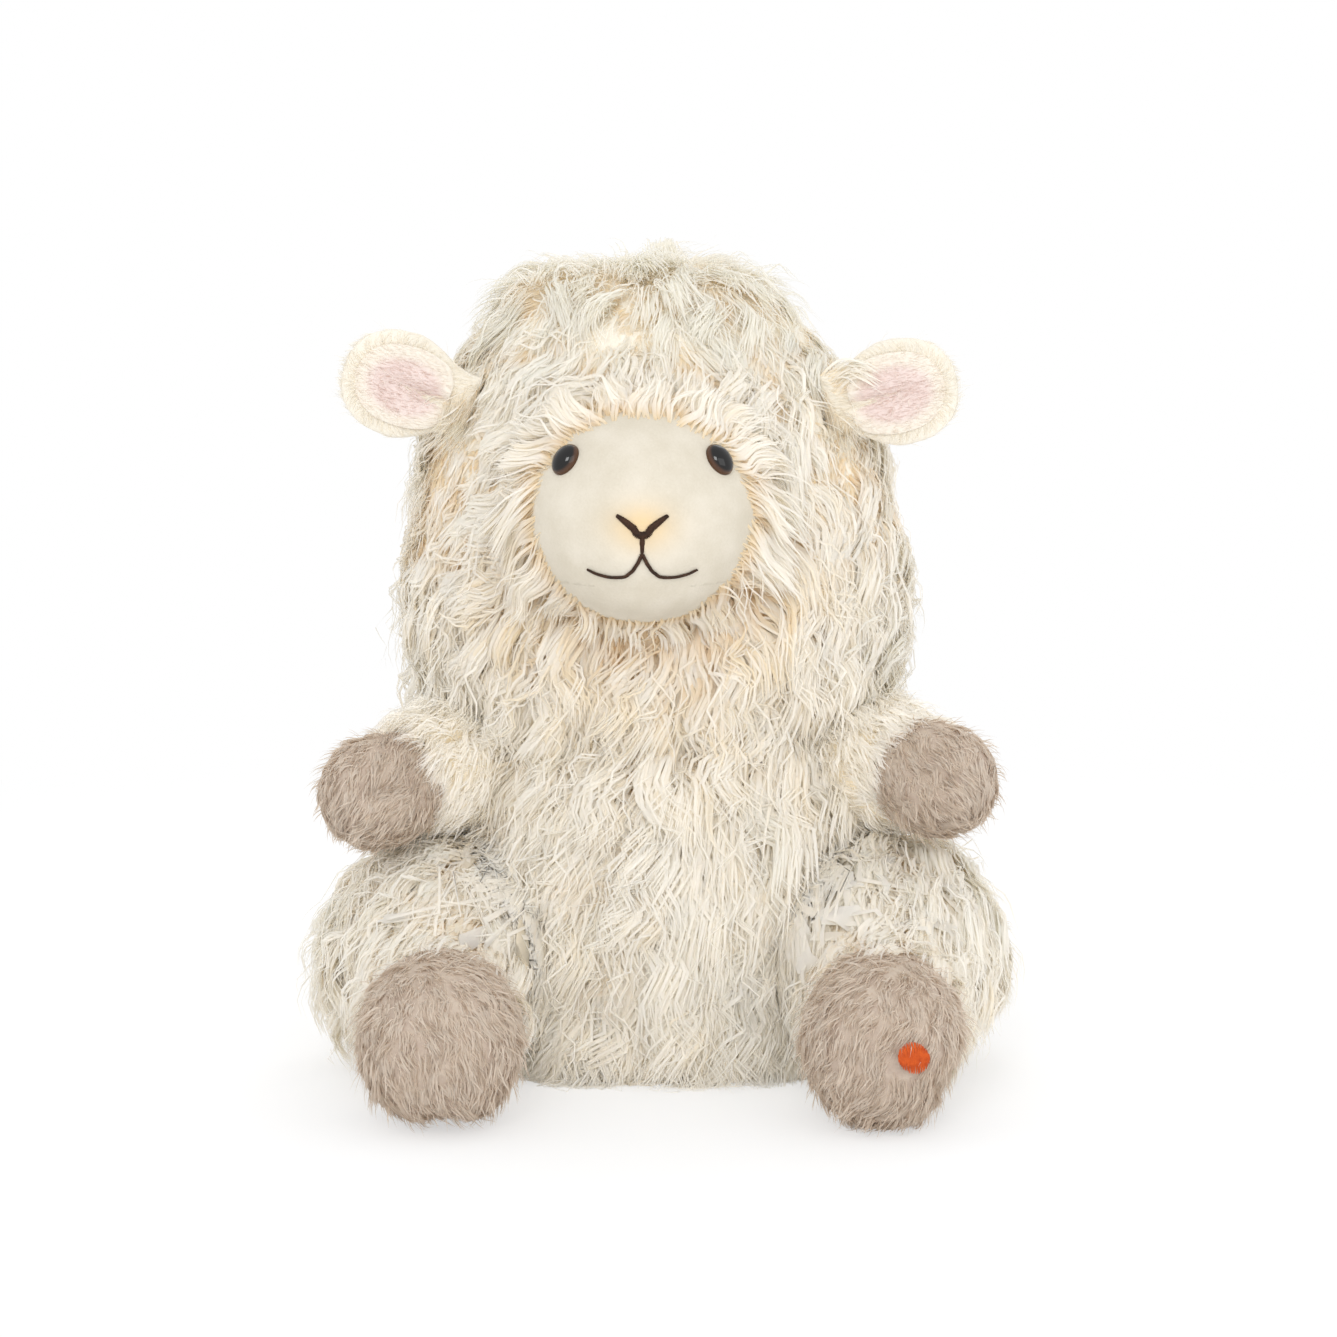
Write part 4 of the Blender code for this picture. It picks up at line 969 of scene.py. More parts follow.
    def grow(self, name: str, pelt: Pelt, growth: Growth, finish: Material, seed: int) -> Mesh:
        """Grows one pelt's strands.

        Args:
            name: a name for the mesh.
            pelt: the skin that they grow from.
            growth: how they are grown.
            finish: their material.
            seed: the seed of all that is random.

        Returns:
            A plain mesh, in metres.
        """
        holder = pelt.emitter("pelt_" + name)
        added = holder.modifiers.new("strands", "NODES")
        added.node_group = self.tree
        values = (growth.density, growth.lock, growth.points, growth.radius, growth.twist, growth.wave, growth.clump)
        values += (growth.stray, growth.sag, growth.own, growth.spread, seed, finish)
        sockets = [item for item in self.tree.interface.items_tree if item.in_out == "INPUT"][1:]
        for socket, value in zip(sockets, values):
            added[socket.identifier] = value
        evaluated = holder.evaluated_get(bpy.context.evaluated_depsgraph_get())
        made = bpy.data.meshes.new_from_object(evaluated)
        source = holder.data
        holder.modifiers.remove(added)
        bpy.data.objects.remove(holder)
        bpy.data.meshes.remove(source)
        kept = {"OFBake", "position", "material_index", "sharp_face", ".corner_vert", ".corner_edge", ".edge_verts"}
        for word in [a.name for a in made.attributes if a.name not in kept]:
            if not made.attributes[word].is_required:
                made.attributes.remove(made.attributes[word])
        places = np.zeros(len(made.vertices) * 3)
        made.vertices.foreach_get("co", places)
        places = places.reshape(-1, 3)
        for centre, radius in pelt.balls:
            away = places - centre
            far = lengths(away)[:, None]
            pushed = centre + away / np.maximum(far, 1.0) * (radius - self.PRESS * (radius - far))
            places = np.where(far < radius, pushed, places)
        places[:, 2] = np.maximum(places[:, 2], self.FLOOR)
        made.vertices.foreach_set("co", places.ravel() * MM)
        return made


class Stitches:
    """Lays stitches across or along a path with one tree of Geometry Nodes."""

    INPUTS = (
        ("Path", "NodeSocketGeometry"),
        ("Stitches", "NodeSocketInt"),
        ("Thread radius", "NodeSocketFloat"),
        ("Slant", "NodeSocketFloat"),
        ("Bow", "NodeSocketFloat"),
        ("Finish", "NodeSocketMaterial"),
    )

    def __init__(self) -> None:
        """Builds the tree."""
        self.tree = bpy.data.node_groups.new("stitches", "GeometryNodeTree")
        for name, kind in self.INPUTS:
            self.tree.interface.new_socket(name, in_out="INPUT", socket_type=kind)
        self.tree.interface.new_socket("Sewn", in_out="OUTPUT", socket_type="NodeSocketGeometry")
        maker = Maker(self.tree)
        given = maker.node("NodeGroupInput", out="Path")
        path = maker.node("GeometryNodeMeshToCurve", {}, {"Mesh": given})
        path = maker.node("GeometryNodeResampleCurve", {}, {"Curve": path, "Count": given.out("Stitches")})
        out = maker.node(
            "GeometryNodeInputNamedAttribute", {"data_type": "FLOAT_VECTOR"}, {"Name": "out"}, "Attribute"
        )
        out = out.unit()
        reach = maker.node("GeometryNodeInputNamedAttribute", {"data_type": "FLOAT"}, {"Name": "reach"}, "Attribute")
        tangent = maker.node("GeometryNodeInputTangent")
        across = tangent.cross(out).unit()
        chance = maker.node(
            "FunctionNodeRandomValue", {"data_type": "FLOAT_VECTOR"},
            {"Min": (-1.0, -1.0, -1.0), "Max": (1.0, 1.0, 1.0), "Seed": 5},
        )
        heading = across + tangent * (given.out("Slant") + chance.part("X") * 0.06)
        turned = maker.node("FunctionNodeAlignRotationToVector", {"axis": "Z"}, {"Vector": out})
        turned = maker.node(
            "FunctionNodeAlignRotationToVector", {"axis": "X", "pivot_axis": "Z"},
            {"Rotation": turned, "Vector": heading},
        )
        line = maker.node("GeometryNodeCurvePrimitiveLine", {}, {"Start": (-1.0, 0.0, 0.0), "End": (1.0, 0.0, 0.0)})
        line = maker.node("GeometryNodeResampleCurve", {}, {"Curve": line, "Count": 7})
        size = maker.node(
            "ShaderNodeCombineXYZ", {}, {"X": reach * (chance.part("Y") * 0.05 + 1.0), "Y": 1.0, "Z": 1.0}
        )
        placed = maker.node(
            "GeometryNodeInstanceOnPoints", {}, {"Points": path, "Instance": line, "Rotation": turned, "Scale": size}
        )
        threads = maker.node("GeometryNodeRealizeInstances", {}, {"Geometry": placed})
        share = maker.node("GeometryNodeSplineParameter", out="Factor")
        ends = (share * 2.0 - 1.0) * (share * 2.0 - 1.0)
        lift = out * (given.out("Bow") * (1.0 - ends))
        threads = maker.node("GeometryNodeSetPosition", {}, {"Geometry": threads, "Offset": lift})
        circle = maker.node("GeometryNodeCurvePrimitiveCircle", {}, {"Resolution": 6, "Radius": 1.0})
        width = given.out("Thread radius") * (1.0 - ends * ends * 0.45)
        sewn = maker.node(
            "GeometryNodeCurveToMesh", {},
            {"Curve": threads, "Profile Curve": circle, "Scale": width, "Fill Caps": True},
        )
        sewn = maker.node("GeometryNodeRealizeInstances", {}, {"Geometry": sewn})
        sewn = maker.node("GeometryNodeSetMaterial", {}, {"Geometry": sewn, "Material": given.out("Finish")})
        maker.node("NodeGroupOutput", {}, {"Sewn": sewn})

    def sew(
        self, places: Array, out: Array, reach: Array, count: int, radius: float, slant: float, bow: float,
        finish: Material, closed: bool = False,
    ) -> Mesh:
        """Sews along a path.

        Args:
            places: the path's points.
            out: the way out of the cloth at each.
            reach: half the length of the stitch at each.
            count: how many stitches there are.
            radius: the thread's radius.
            slant: how far a stitch leans along the path; LEVEL_STITCH lies along it.
            bow: how far its middle stands up.
            finish: the thread.
            closed: whether the path ends where it starts.

        Returns:
            A plain mesh, in metres.
        """
        base = bpy.data.meshes.new("path")
        edges = [(i, i + 1) for i in range(len(places) - 1)] + ([(len(places) - 1, 0)] if closed else [])
        base.from_pydata(places.tolist(), edges, [])
        mark(base, "out", out)
        mark(base, "reach", reach)
        holder = put("path", base)
        added = holder.modifiers.new("stitches", "NODES")
        added.node_group = self.tree
        sockets = [item for item in self.tree.interface.items_tree if item.in_out == "INPUT"][1:]
        for socket, value in zip(sockets, (count, radius, slant, bow, finish)):
            added[socket.identifier] = value
        made = bpy.data.meshes.new_from_object(holder.evaluated_get(bpy.context.evaluated_depsgraph_get()))
        bpy.data.objects.remove(holder)
        made.transform(Matrix.Scale(MM, 4))
        made.shade_smooth()
        return made


# ---------------------------------------------------------------- sub-assemblies

TRUNK_FACETS, SEAT_FACETS, HOOD_FACETS, FACE_FACETS = 72, 64, 84, 96
EYE_FACETS, EAR_FACETS, TAIL_FACETS = 48, 48, 32
SEAM_STITCHES = 78  # round the seat
SEAM_POINTS = 90
LEVEL_STITCH = 50.0  # the slant of a stitch that lies along its path


def joint_place(name: str) -> Array:
    """Where a joint of the frame is, in millimetres."""
    return np.array(next(j["pos_m"] for j in frame["joints"] if j["name"] == name)) / MM


@dataclass
class Workshop:
    """What every sub-assembly is made with."""

    strands: Strands
    stitches: Stitches
    finishes: dict[str, Material]

    def finish(self, kind: Finish) -> Material:
        """The material of a finish, made once."""
        if kind.name not in self.finishes:
            self.finishes[kind.name] = kind.make()
        return self.finishes[kind.name]

    def wool(
        self, name: str, pelt: Pelt, body: str, piles: Sequence[Pile], seed: int, finish: Finish = WOOL_STRANDS,
    ) -> Thing:
        """Grows a piece of pile and puts it on its body.

        Args:
            name: the piece's name.
            pelt: the skin that it grows from.
            body: the body that it rides on.
            piles: the kinds of pile, which are all in the one piece.
            seed: the seed of all that is random.
            finish: the strands' finish.

        Returns:
            The piece.
        """
        bm = bmesh.new()
        for pile in piles:
            bm.from_mesh(self.strands.grow(name, pelt, GROWTHS[pile], self.finish(finish), seed))
        made = bpy.data.meshes.new(name)
        bm.to_mesh(made)
        bm.free()
        made.shade_smooth()
        return add_piece(name, made, self.finish(finish), body)

    def quarters(self, name: str, pelt: Pelt, body: str, middle: float, seed: int) -> None:
        """Grows a pelt's wool in four pieces: front and back, left and right of a middle.

        Args:
            name: the start of the pieces' names.
            pelt: the whole skin.
            body: the body that they ride on.
            middle: the X of the middle, in millimetres.
            seed: the first piece's seed.
        """
        places = np.array([pelt.form.points[list(f)].mean(axis=0) for f in pelt.form.faces])
        for end, there in (("front", places[:, 1] < 0), ("back", places[:, 1] >= 0)):
            for hand, here in (("left", places[:, 0] >= middle), ("right", places[:, 0] < middle)):
                self.wool(f"{name}_{end}_{hand}", sector(pelt, there & here), body, WOOL_PILES, seed)
                seed += SEED_STEP

    def filling(self, node: str, body: str) -> None:
        """Makes a lump of fibre in the place of a CAD filling."""
        form = Form.of_node(node)
        mesh = refine(form.mesh(node + "_fibre"), 2, LUMP_HEIGHT, LUMP_SIZE)
        add_piece(node + "_fibre", mesh, self.finish(FIBREFILL), body, [node])


def sector(pelt: Pelt, chosen: Array) -> Pelt:
    """The part of a pelt on the chosen faces."""
    faces = [f for f, c in zip(pelt.form.faces, chosen) if c]
    return replace(pelt, form=Form(pelt.form.points, faces))


def pulled_in(node: str, outer: Callable[[Array], Array], middle: Sequence[float], reach: Sequence[float]) -> Form:
    """A copy of a CAD cover whose outer skin is sunk, so that the pile stands on it.

    Args:
        node: the cover.
        outer: how far each point is sunk, in millimetres.
        middle: the middle of the ellipsoid that gives the way inwards.
        reach: its half sizes.

    Returns:
        The sunk form.
    """
    form = Form.of_node(node)
    inwards = -unit((form.points - np.array(middle)) / np.square(reach))
    points = form.points + inwards * outer(form.points)[:, None]
    points[:, 2] = np.maximum(points[:, 2], np.minimum(form.points[:, 2], 0.0))
    return Form(points, form.faces)


@dataclass
class Trunk:
    """The trunk: its cloth, wool, seat panel, pellet pouch and filling."""

    width: float = 148.0
    depth: float = 122.0
    shift: float = 3.0
    dome: float = 36.0
    fall: float = 4.0
    end_share: float = 0.70
    inset: float = 3.4
    sink: float = 3.6
    panel: tuple[float, float] = (84.0, 74.0)
    wall: float = 8.0
    pouch: tuple[float, float, float, float] = (66.0, 58.0, 24.0, 8.0)
    panel_shares: tuple = (
        (0.02, 0.25), (0.5, 0.1), (0.9, 0.0), (0.985, 0.3), (1.0, 1.2),
        (1.0, 6.8), (0.985, 7.7), (0.9, 8.0), (0.5, 8.0), (0.02, 8.0),
    )
    pouch_shares: tuple = ((0.0, 0.62), (0.12, 0.86), (0.4, 1.0), (0.65, 0.97), (0.88, 0.75), (0.98, 0.3))
    neck: Array = field(default_factory=lambda: joint_place("neck_nod"))
    shares: tuple = (
        (0.00, 0.74, 0.76), (0.04, 0.87, 0.88), (0.14, 0.965, 0.97), (0.30, 1.00, 1.00),
        (0.50, 0.975, 0.975), (0.70, 0.91, 0.905), (0.88, 0.825, 0.81), (1.00, 0.70, 0.67),
    )

    def top(self) -> float:
        """The height of the shoulder line."""
        return self.neck[2] - self.width / 2 * self.end_share * math.tan(math.radians(self.fall))

    def centre(self, height: Array) -> Array:
        """The middle of the trunk at each height."""
        share = np.asarray(height) / self.neck[2]
        return np.stack(
            [self.neck[0] * share**2, -self.shift + (self.neck[1] + self.shift) * share**2, np.asarray(height)],
            axis=-1,
        )

    def inside(self, points: Array) -> Array:
        """Below 1 where a point is inside the trunk's side."""
        share = np.clip(points[:, 2] / self.top(), 0.0, 1.0)
        across = self.width / 2 * read_table(self.shares, share)
        along = self.depth / 2 * read_table(self.shares, share, 2)
        away = points - self.centre(points[:, 2])
        return np.hypot(away[:, 0] / across, away[:, 1] / along)

    def skin(self) -> Form:
        """The smooth skin that the wool grows from."""
        rings = []
        for height, across, along in spline(self.shares, 30):
            level = 1.5 + (self.top() - 3.0 - 1.5) * np.clip(height, 0.0, 1.0)
            across, along = self.width / 2 * across - self.inset, self.depth / 2 * along - self.inset
            rings.append(level_ring(self.centre(level), across, along, TRUNK_FACETS))
        radius = self.dome - self.inset
        for degrees in (8.0, 20.0, 32.0, 44.0):
            reach = radius * math.cos(math.radians(degrees))
            rings.append(
                level_ring(self.neck + UP * radius * math.sin(math.radians(degrees)), reach, reach, TRUNK_FACETS)
            )
        return Form.loft(rings)

    def pelt(self, legs: Sequence["Leg"], arms: Sequence["Arm"]) -> Pelt:
        """What the trunk's wool does at each spot.

        Args:
            legs: the legs, which the wool lies over.
            arms: the arms.

        Returns:
            The pelt.
        """
        form = self.skin()
        p, n = form.points, form.normals()
        flat, half = unit(n * (1.0, 1.0, 0.0)), self.width / 2
        high, low = smooth_step(p[:, 2], 88, 118), 1 - smooth_step(p[:, 2], 8, 40)
        front = smooth_step(-n[:, 1], -0.2, 0.7)
        comb = -UP + np.outer(p[:, 0] / half * 0.45, LEFT) + flat * (high * 1.8)[:, None]
        span = 34 + 10 * front * (1 - high) - 4 * high - 15 * low
        amount = np.ones(len(p))
        for leg in legs:
            amount *= smooth_step(lengths(p - leg.pivot()), 27, 32)
        for arm in arms:
            amount *= smooth_step(lengths(p - arm.pivot()), 13, 17)
        amount *= smooth_step(n[:, 2], -0.75, -0.45)
        side = np.abs(p[:, 0]) / half
        # Darker at the sides of the front, near the floor and by the neck: painted shade under the arms, at the floor
        # and under the head.
        tone = 0.74 - 0.26 * smooth_step(side, 0.6, 0.95) * front - 0.12 * low - 0.05 * high
        amount *= 0.75 + 0.25 * smooth_step(-n[:, 1], -0.3, 0.2)
        balls = [ball for leg in legs for ball in leg.balls()]
        chance = np.random.default_rng(11).uniform(0.3, 1.7, len(p))
        return Pelt(
            form, comb, span, rise=(3.2 + 3.0 * high) * chance, bend=0.003 + 0.002 * high + 0.006 * low, curl=2.5,
            tone=tone, amount=amount, balls=balls,
        )

    def build(self, shop: Workshop, legs: Sequence["Leg"], arms: Sequence["Arm"]) -> None:
        """Makes the trunk's pieces."""
        def sunk(points: Array) -> Array:
            share = np.maximum(
                self.inside(points), lengths(points - self.neck) / self.dome * (points[:, 2] > self.top())
            )
            return smooth_step(share, 0.93, 0.95) * (self.sink - np.clip((1 - share) * 67, 0.0, 3.0))

        cloth = pulled_in("body_cover", sunk, (0.0, 0.0, 50.0), (self.width / 2, self.depth / 2, 100.0))
        add_piece(
            "trunk_cloth", refine(cloth.mesh("trunk_cloth"), 1), shop.finish(WOOL_CLOTH), "torso", ["body_cover"],
        )
        shop.quarters("trunk_wool", self.pelt(legs, arms), "torso", 0.0, 100)
        self._seat(shop)
        shop.filling("body_stuffing", "torso")
        shop.filling("neck_stuffing", "neck")

    def _seat(self, shop: Workshop) -> None:
        """Makes the seat panel with its seam, and the pellet pouch."""
        across, along = (s / 2 for s in self.panel)
        rings = []
        for reach, level in spline(self.panel_shares, 34):
            rings.append(level_ring(np.array([0, 0, max(0.0, level)]), across * reach, along * reach, SEAT_FACETS))
        panel = Form.capped(rings)
        add_piece(
            "seat_panel", panel.mesh("seat_panel"), shop.finish(CANVAS), "torso", ["base_panel"]
        )
        edge = level_ring(np.array([0, 0, 0.35]), across * 0.93, along * 0.93, SEAM_POINTS)
        out, reach = np.tile(-UP, (SEAM_POINTS, 1)), np.full(SEAM_POINTS, 1.1)
        sewn = shop.stitches.sew(edge, out, reach, SEAM_STITCHES, 0.25, LEVEL_STITCH, 0.1, shop.finish(CANVAS), True)
        add_piece("seat_seam", sewn, shop.finish(CANVAS), "torso")
        width, depth, height, back = self.pouch
        rings = []
        for share, reach in spline(self.pouch_shares, 26):
            level = np.array([0, back, self.wall + 0.3 + height * min(1.0, share)])
            rings.append(level_ring(level, width / 2 * reach, depth / 2 * reach, SEAT_FACETS))
        pouch = Form.capped(rings)
        add_piece(
            "pellet_pouch", refine(pouch.mesh("pellet_pouch"), 1, 0.0008, 0.004), shop.finish(CANVAS), "torso",
            ["bean_pouch"],
        )


@dataclass
class Face:
    """The smooth face with its chin, eyes and embroidery."""

    centre: tuple[float, float, float] = (-6.0, -52.0, 184.22)
    width: float = 76.0
    height: float = 71.0
    dome: float = 40.0
    sleeve: float = 17.0
    drop: float = 5.0
    chin: float = 15.0
    wall: float = 4.0
    shares: tuple = (
        (0.0, 1.0), (0.2, 0.985), (0.4, 0.93), (0.58, 0.835), (0.74, 0.70), (0.87, 0.515), (0.96, 0.30), (0.99, 0.15)
    )
    eye: tuple[float, float, float] = (8.6, 10.8, 3.5)
    eye_place: tuple[float, float] = (23.5, 17.5)
    eye_tilt: float = 18.0
    thread: float = 0.95
    nose: tuple[float, float, float, float] = (7.6, 2.2, 6.4, 3.2)
    mouth: tuple[float, float] = (16.5, 7.0)
    mouth_shares: tuple = (
        (1.0, 0.72), (0.78, 0.92), (0.56, 1.0), (0.38, 0.98), (0.24, 0.80), (0.11, 0.42), (0.0, 0.0)
    )

    def sculpt(self, x: Array, z: Array) -> Array:
        """How far the surface stands out of the plain dome, at places from the face's centre."""
        def bump(cx: float, cz: float, sx: float, sz: float) -> Array:
            return np.exp(-(((x - cx) / sx) ** 2) - ((z - cz) / sz) ** 2)

        lips = 1.5 * (bump(-7, -12, 6, 5) + bump(7, -12, 6, 5))
        nose = 1.2 * bump(0, -2, 5, 4)
        cleft = -1.3 * bump(0, -9, 1.3, 4)
        sockets = -1.6 * (bump(-21, 15, 8, 8) + bump(21, 15, 8, 8))
        chin = 1.0 * bump(0, -27, 12, 5)
        return lips + nose + cleft + sockets + chin

    def rings(self, inset: float, sleeve: float) -> list[Array]:
        """The face's outer or inner surface, from its rim to its tip."""
        c = np.array(self.centre)
        across, up = self.width / 2 - inset, self.height / 2 - inset
        made = [front_ring(c + np.array([0, s, 0]), across, up, FACE_FACETS) for s in (sleeve, sleeve / 2)]
        for share, reach in spline(self.shares, 40):
            level = c + np.array([0, inset * share - self.dome * share, -self.drop * share**2])
            points = front_ring(level, across * reach, up * reach, FACE_FACETS)
            points[:, 1] -= (
                self.sculpt(points[:, 0] - c[0], points[:, 2] - c[2]) * smooth_step(np.array([share]), 0.1, 0.4)
                * (1 if inset == 0 else 0)
            )
            made.append(points)
        return made + [made[-1].mean(axis=0)[None] - np.array([[0, 0.1, 0]])]

    def surface(self) -> tuple[Array, Array]:
        """Points all over the front of the face and their normals, for finding places on it."""
        form = Form.loft(self.rings(0.0, self.sleeve))
        return form.points, form.normals()

    def place(self, across: Array, up: Array) -> tuple[Array, Array]:
        """Points on the face, and the way out of it there, from places given from its centre.

        Args:
            across: distances to the sheep's left.
            up: distances upwards.

        Returns:
            The points and the directions.
        """
        points, normals = self.surface()
        wanted = np.stack([np.atleast_1d(across) + self.centre[0], np.atleast_1d(up) + self.centre[2]], axis=1)
        far = (points[None, :, 0] - wanted[:, None, 0]) ** 2 + (points[None, :, 2] - wanted[:, None, 1]) ** 2
        near = np.argsort(far, axis=1)[:, :6]
        weight = 1 / (np.take_along_axis(far, near, axis=1) + 0.05)
        weight /= weight.sum(axis=1, keepdims=True)
        level = (points[near][..., 1] * weight).sum(axis=1)
        out = unit((normals[near] * weight[..., None]).sum(axis=1))
        return np.stack([wanted[:, 0], level, wanted[:, 1]], axis=1), out

    def frill(self) -> Pelt:
        """The wool that grows round the side of the face and hides its seam with the hood."""
        c = np.array(self.centre)
        across, up = self.width / 2, self.height / 2
        rings = []
        for share in (0.05, 0.14, 0.23, 0.32, 0.40, 0.47, 0.53, 0.59):
            reach = read_table(self.shares, share)
            level = c + np.array([0, -self.dome * share, -self.drop * share**2])
            rings.append(front_ring(level, across * reach, up * reach, FACE_FACETS))
        form = Form.loft(rings)
        p, n = form.points, form.normals()
        x, z = (p[:, 0] - c[0]) / across, (p[:, 2] - c[2]) / up
        high, low = smooth_step(z, 0.2, 0.8), smooth_step(-z, 0.2, 0.8)
        share = (c[1] - p[:, 1]) / self.dome
        comb = np.stack([x * 0.3, np.ones(len(p)), -0.9 * (1 - high) * (1 - low)], axis=1)
        cheek = smooth_step(-z, 0.0, 0.35) * smooth_step(np.abs(x), 0.35, 0.6)
        amount = (0.45 + 0.55 * smooth_step(share, 0.1, 0.3)) * (1 - 0.5 * low) * (
            1 - smooth_step(share, 0.47, 0.5) * (1 - cheek)
        )
        span = 20 - 4 * high - 5 * low
        # The wool below the face is darker: painted shade under the chin.
        return Pelt(
            form, comb, span, rise=4.0 - 1.5 * low, bend=-0.022, curl=1.1, tone=0.72 - 0.1 * low, amount=amount * 1.3,
            girth=0.85,
        )

    def build(self, shop: Workshop) -> None:
        """Makes the face's pieces."""
        shell = Form.loft(self.rings(0.0, self.sleeve)[::-1] + self.rings(self.wall, self.sleeve))
        level = self.centre[2] - self.height / 2 + self.chin
        for name, node, above in (("face_cloth", "face_panel", True), ("chin_cloth", "chin_panel", False)):
            bm = bmesh.new()
            bm.from_mesh(shell.mesh("whole", 1.0))
            for face in bm.faces:
                face.smooth = True
            geometry = bm.verts[:] + bm.edges[:] + bm.faces[:]
            bmesh.ops.bisect_plane(
                bm, geom=geometry, plane_co=(0, 0, level), plane_no=(0, 0, 1), clear_outer=not above,
                clear_inner=above,
            )
            bmesh.ops.holes_fill(bm, edges=[e for e in bm.edges if e.is_boundary], sides=0)
            bmesh.ops.triangulate(bm, faces=[f for f in bm.faces if len(f.verts) > 4])
            bmesh.ops.recalc_face_normals(bm, faces=bm.faces)
            for edge in bm.edges:
                edge.smooth = edge.calc_face_angle(0.0) < 1.0
            mesh = bpy.data.meshes.new(name)
            bm.to_mesh(mesh)
            bm.free()
            points = np.array([v.co for v in mesh.vertices])
            x, z = points[:, 0] - self.centre[0], points[:, 2] - self.centre[2]
            warm = 0.9 * np.exp(-((x / 9) ** 2) - ((z + 1) / 6.5) ** 2)
            mark(mesh, "warm", np.clip(warm, 0, 1))
            mesh.transform(Matrix.Scale(MM, 4))
            add_piece(name, mesh, shop.finish(FACE_CLOTH), "head", [node])
        for side in Side:
            self._eye(shop, side)
        self._embroidery(shop)

    def _eye(self, shop: Workshop, side: Side) -> None:
        """Makes a domed eye with its brown rim and its shank."""
        sign = side.value
        spot, out = self.place(np.array([sign * self.eye_place[0]]), np.array([self.eye_place[1]]))
        spot, out = spot[0], out[0]
        across, along = side_axes(out)
        turn = np.array(Matrix.Rotation(math.radians(sign * self.eye_tilt), 3, Vector(out)))
        across, along = turn @ across, turn @ along
        width, height, dome = self.eye
        rings, rims = [], []
        for level, reach, rim in (
            (-9.0, 0.30, 1.0), (-0.6, 0.30, 1.0), (-0.6, 0.90, 1.0), (-0.2, 0.985, 1.0), (0.15, 1.0, 1.0)
        ):
            rings.append(ring(spot + out * level, across * width / 2 * reach, along * height / 2 * reach, EYE_FACETS))
            rims.append(np.full(EYE_FACETS, rim))
        for angle in np.radians(np.linspace(8, 84, 16)):
            level = spot + out * (0.15 + dome * math.sin(angle))
            rings.append(
                ring(level, across * width / 2 * math.cos(angle), along * height / 2 * math.cos(angle), EYE_FACETS)
            )
            rims.append(np.full(EYE_FACETS, math.cos(angle)))
        form = Form.loft([spot[None] - out * 9.0] + rings + [spot[None] + out * (0.15 + dome)])
        mesh = form.mesh("eye")
        mark(mesh, "rim", np.concatenate([[1.0], *rims, [0.0]]))
        add_piece("eye_glass_" + side.word, mesh, shop.finish(EYE_GLOSS), "head", ["eye_" + side.word])
        frame["nodes"]["eye_washer_" + side.word].data.materials.clear()
        frame["nodes"]["eye_washer_" + side.word].data.materials.append(shop.finish(NYLON))

    def _line(self, places: Sequence[Sequence[float]], count: int) -> tuple[Array, Array]:
        """A smooth line over the face through places given from its centre."""
        path = spline(places, count)
        points, out = self.place(path[:, 0], path[:, 1])
        return points + out * 0.25, out

    def _embroidery(self, shop: Workshop) -> None:
        """Sews the nose and the mouth in satin stitch."""
        half, top, tall, stem = self.nose
        foot = top - tall
        wing = [(-half * s, foot + tall * s**0.8) for s in (1, 0.7, 0.35, 0.06)]
        nose = wing + [(-x, z) for x, z in wing[::-1]]
        low = foot - stem - 2 * self.thread - 0.4
        smile = [(-self.mouth[0] * s, low - self.mouth[1] * d) for s, d in self.mouth_shares]
        smile += [(-x, z) for x, z in smile[-2::-1]]
        lines = {
            "nose_thread": (
                "nose_stitching",
                [(nose, 64, 1.15, 0.25), ([(0, foot + 0.6), (0, foot - stem / 2), (0, low + 0.6)], 18, 0.75, 0.2)],
            ),
            "mouth_thread": ("mouth_stitching", [(smile, 110, 0.72, 0.9)]),
        }
        for name, (node, parts) in lines.items():
            bm = bmesh.new()
            for places, count, reach, slant in parts:
                points, out = self._line(places, 60)
                share = np.linspace(-1, 1, len(points))
                width = reach * (1 - 0.55 * np.abs(share) ** 3)
                sewn = shop.stitches.sew(points, out, width, count, 0.27, slant, 0.45, shop.finish(BROWN_THREAD))
                bm.from_mesh(sewn)
            mesh = bpy.data.meshes.new(name)
            bm.to_mesh(mesh)
            bm.free()
            mesh.shade_smooth()
            add_piece(name, mesh, shop.finish(BROWN_THREAD), "head", [node])


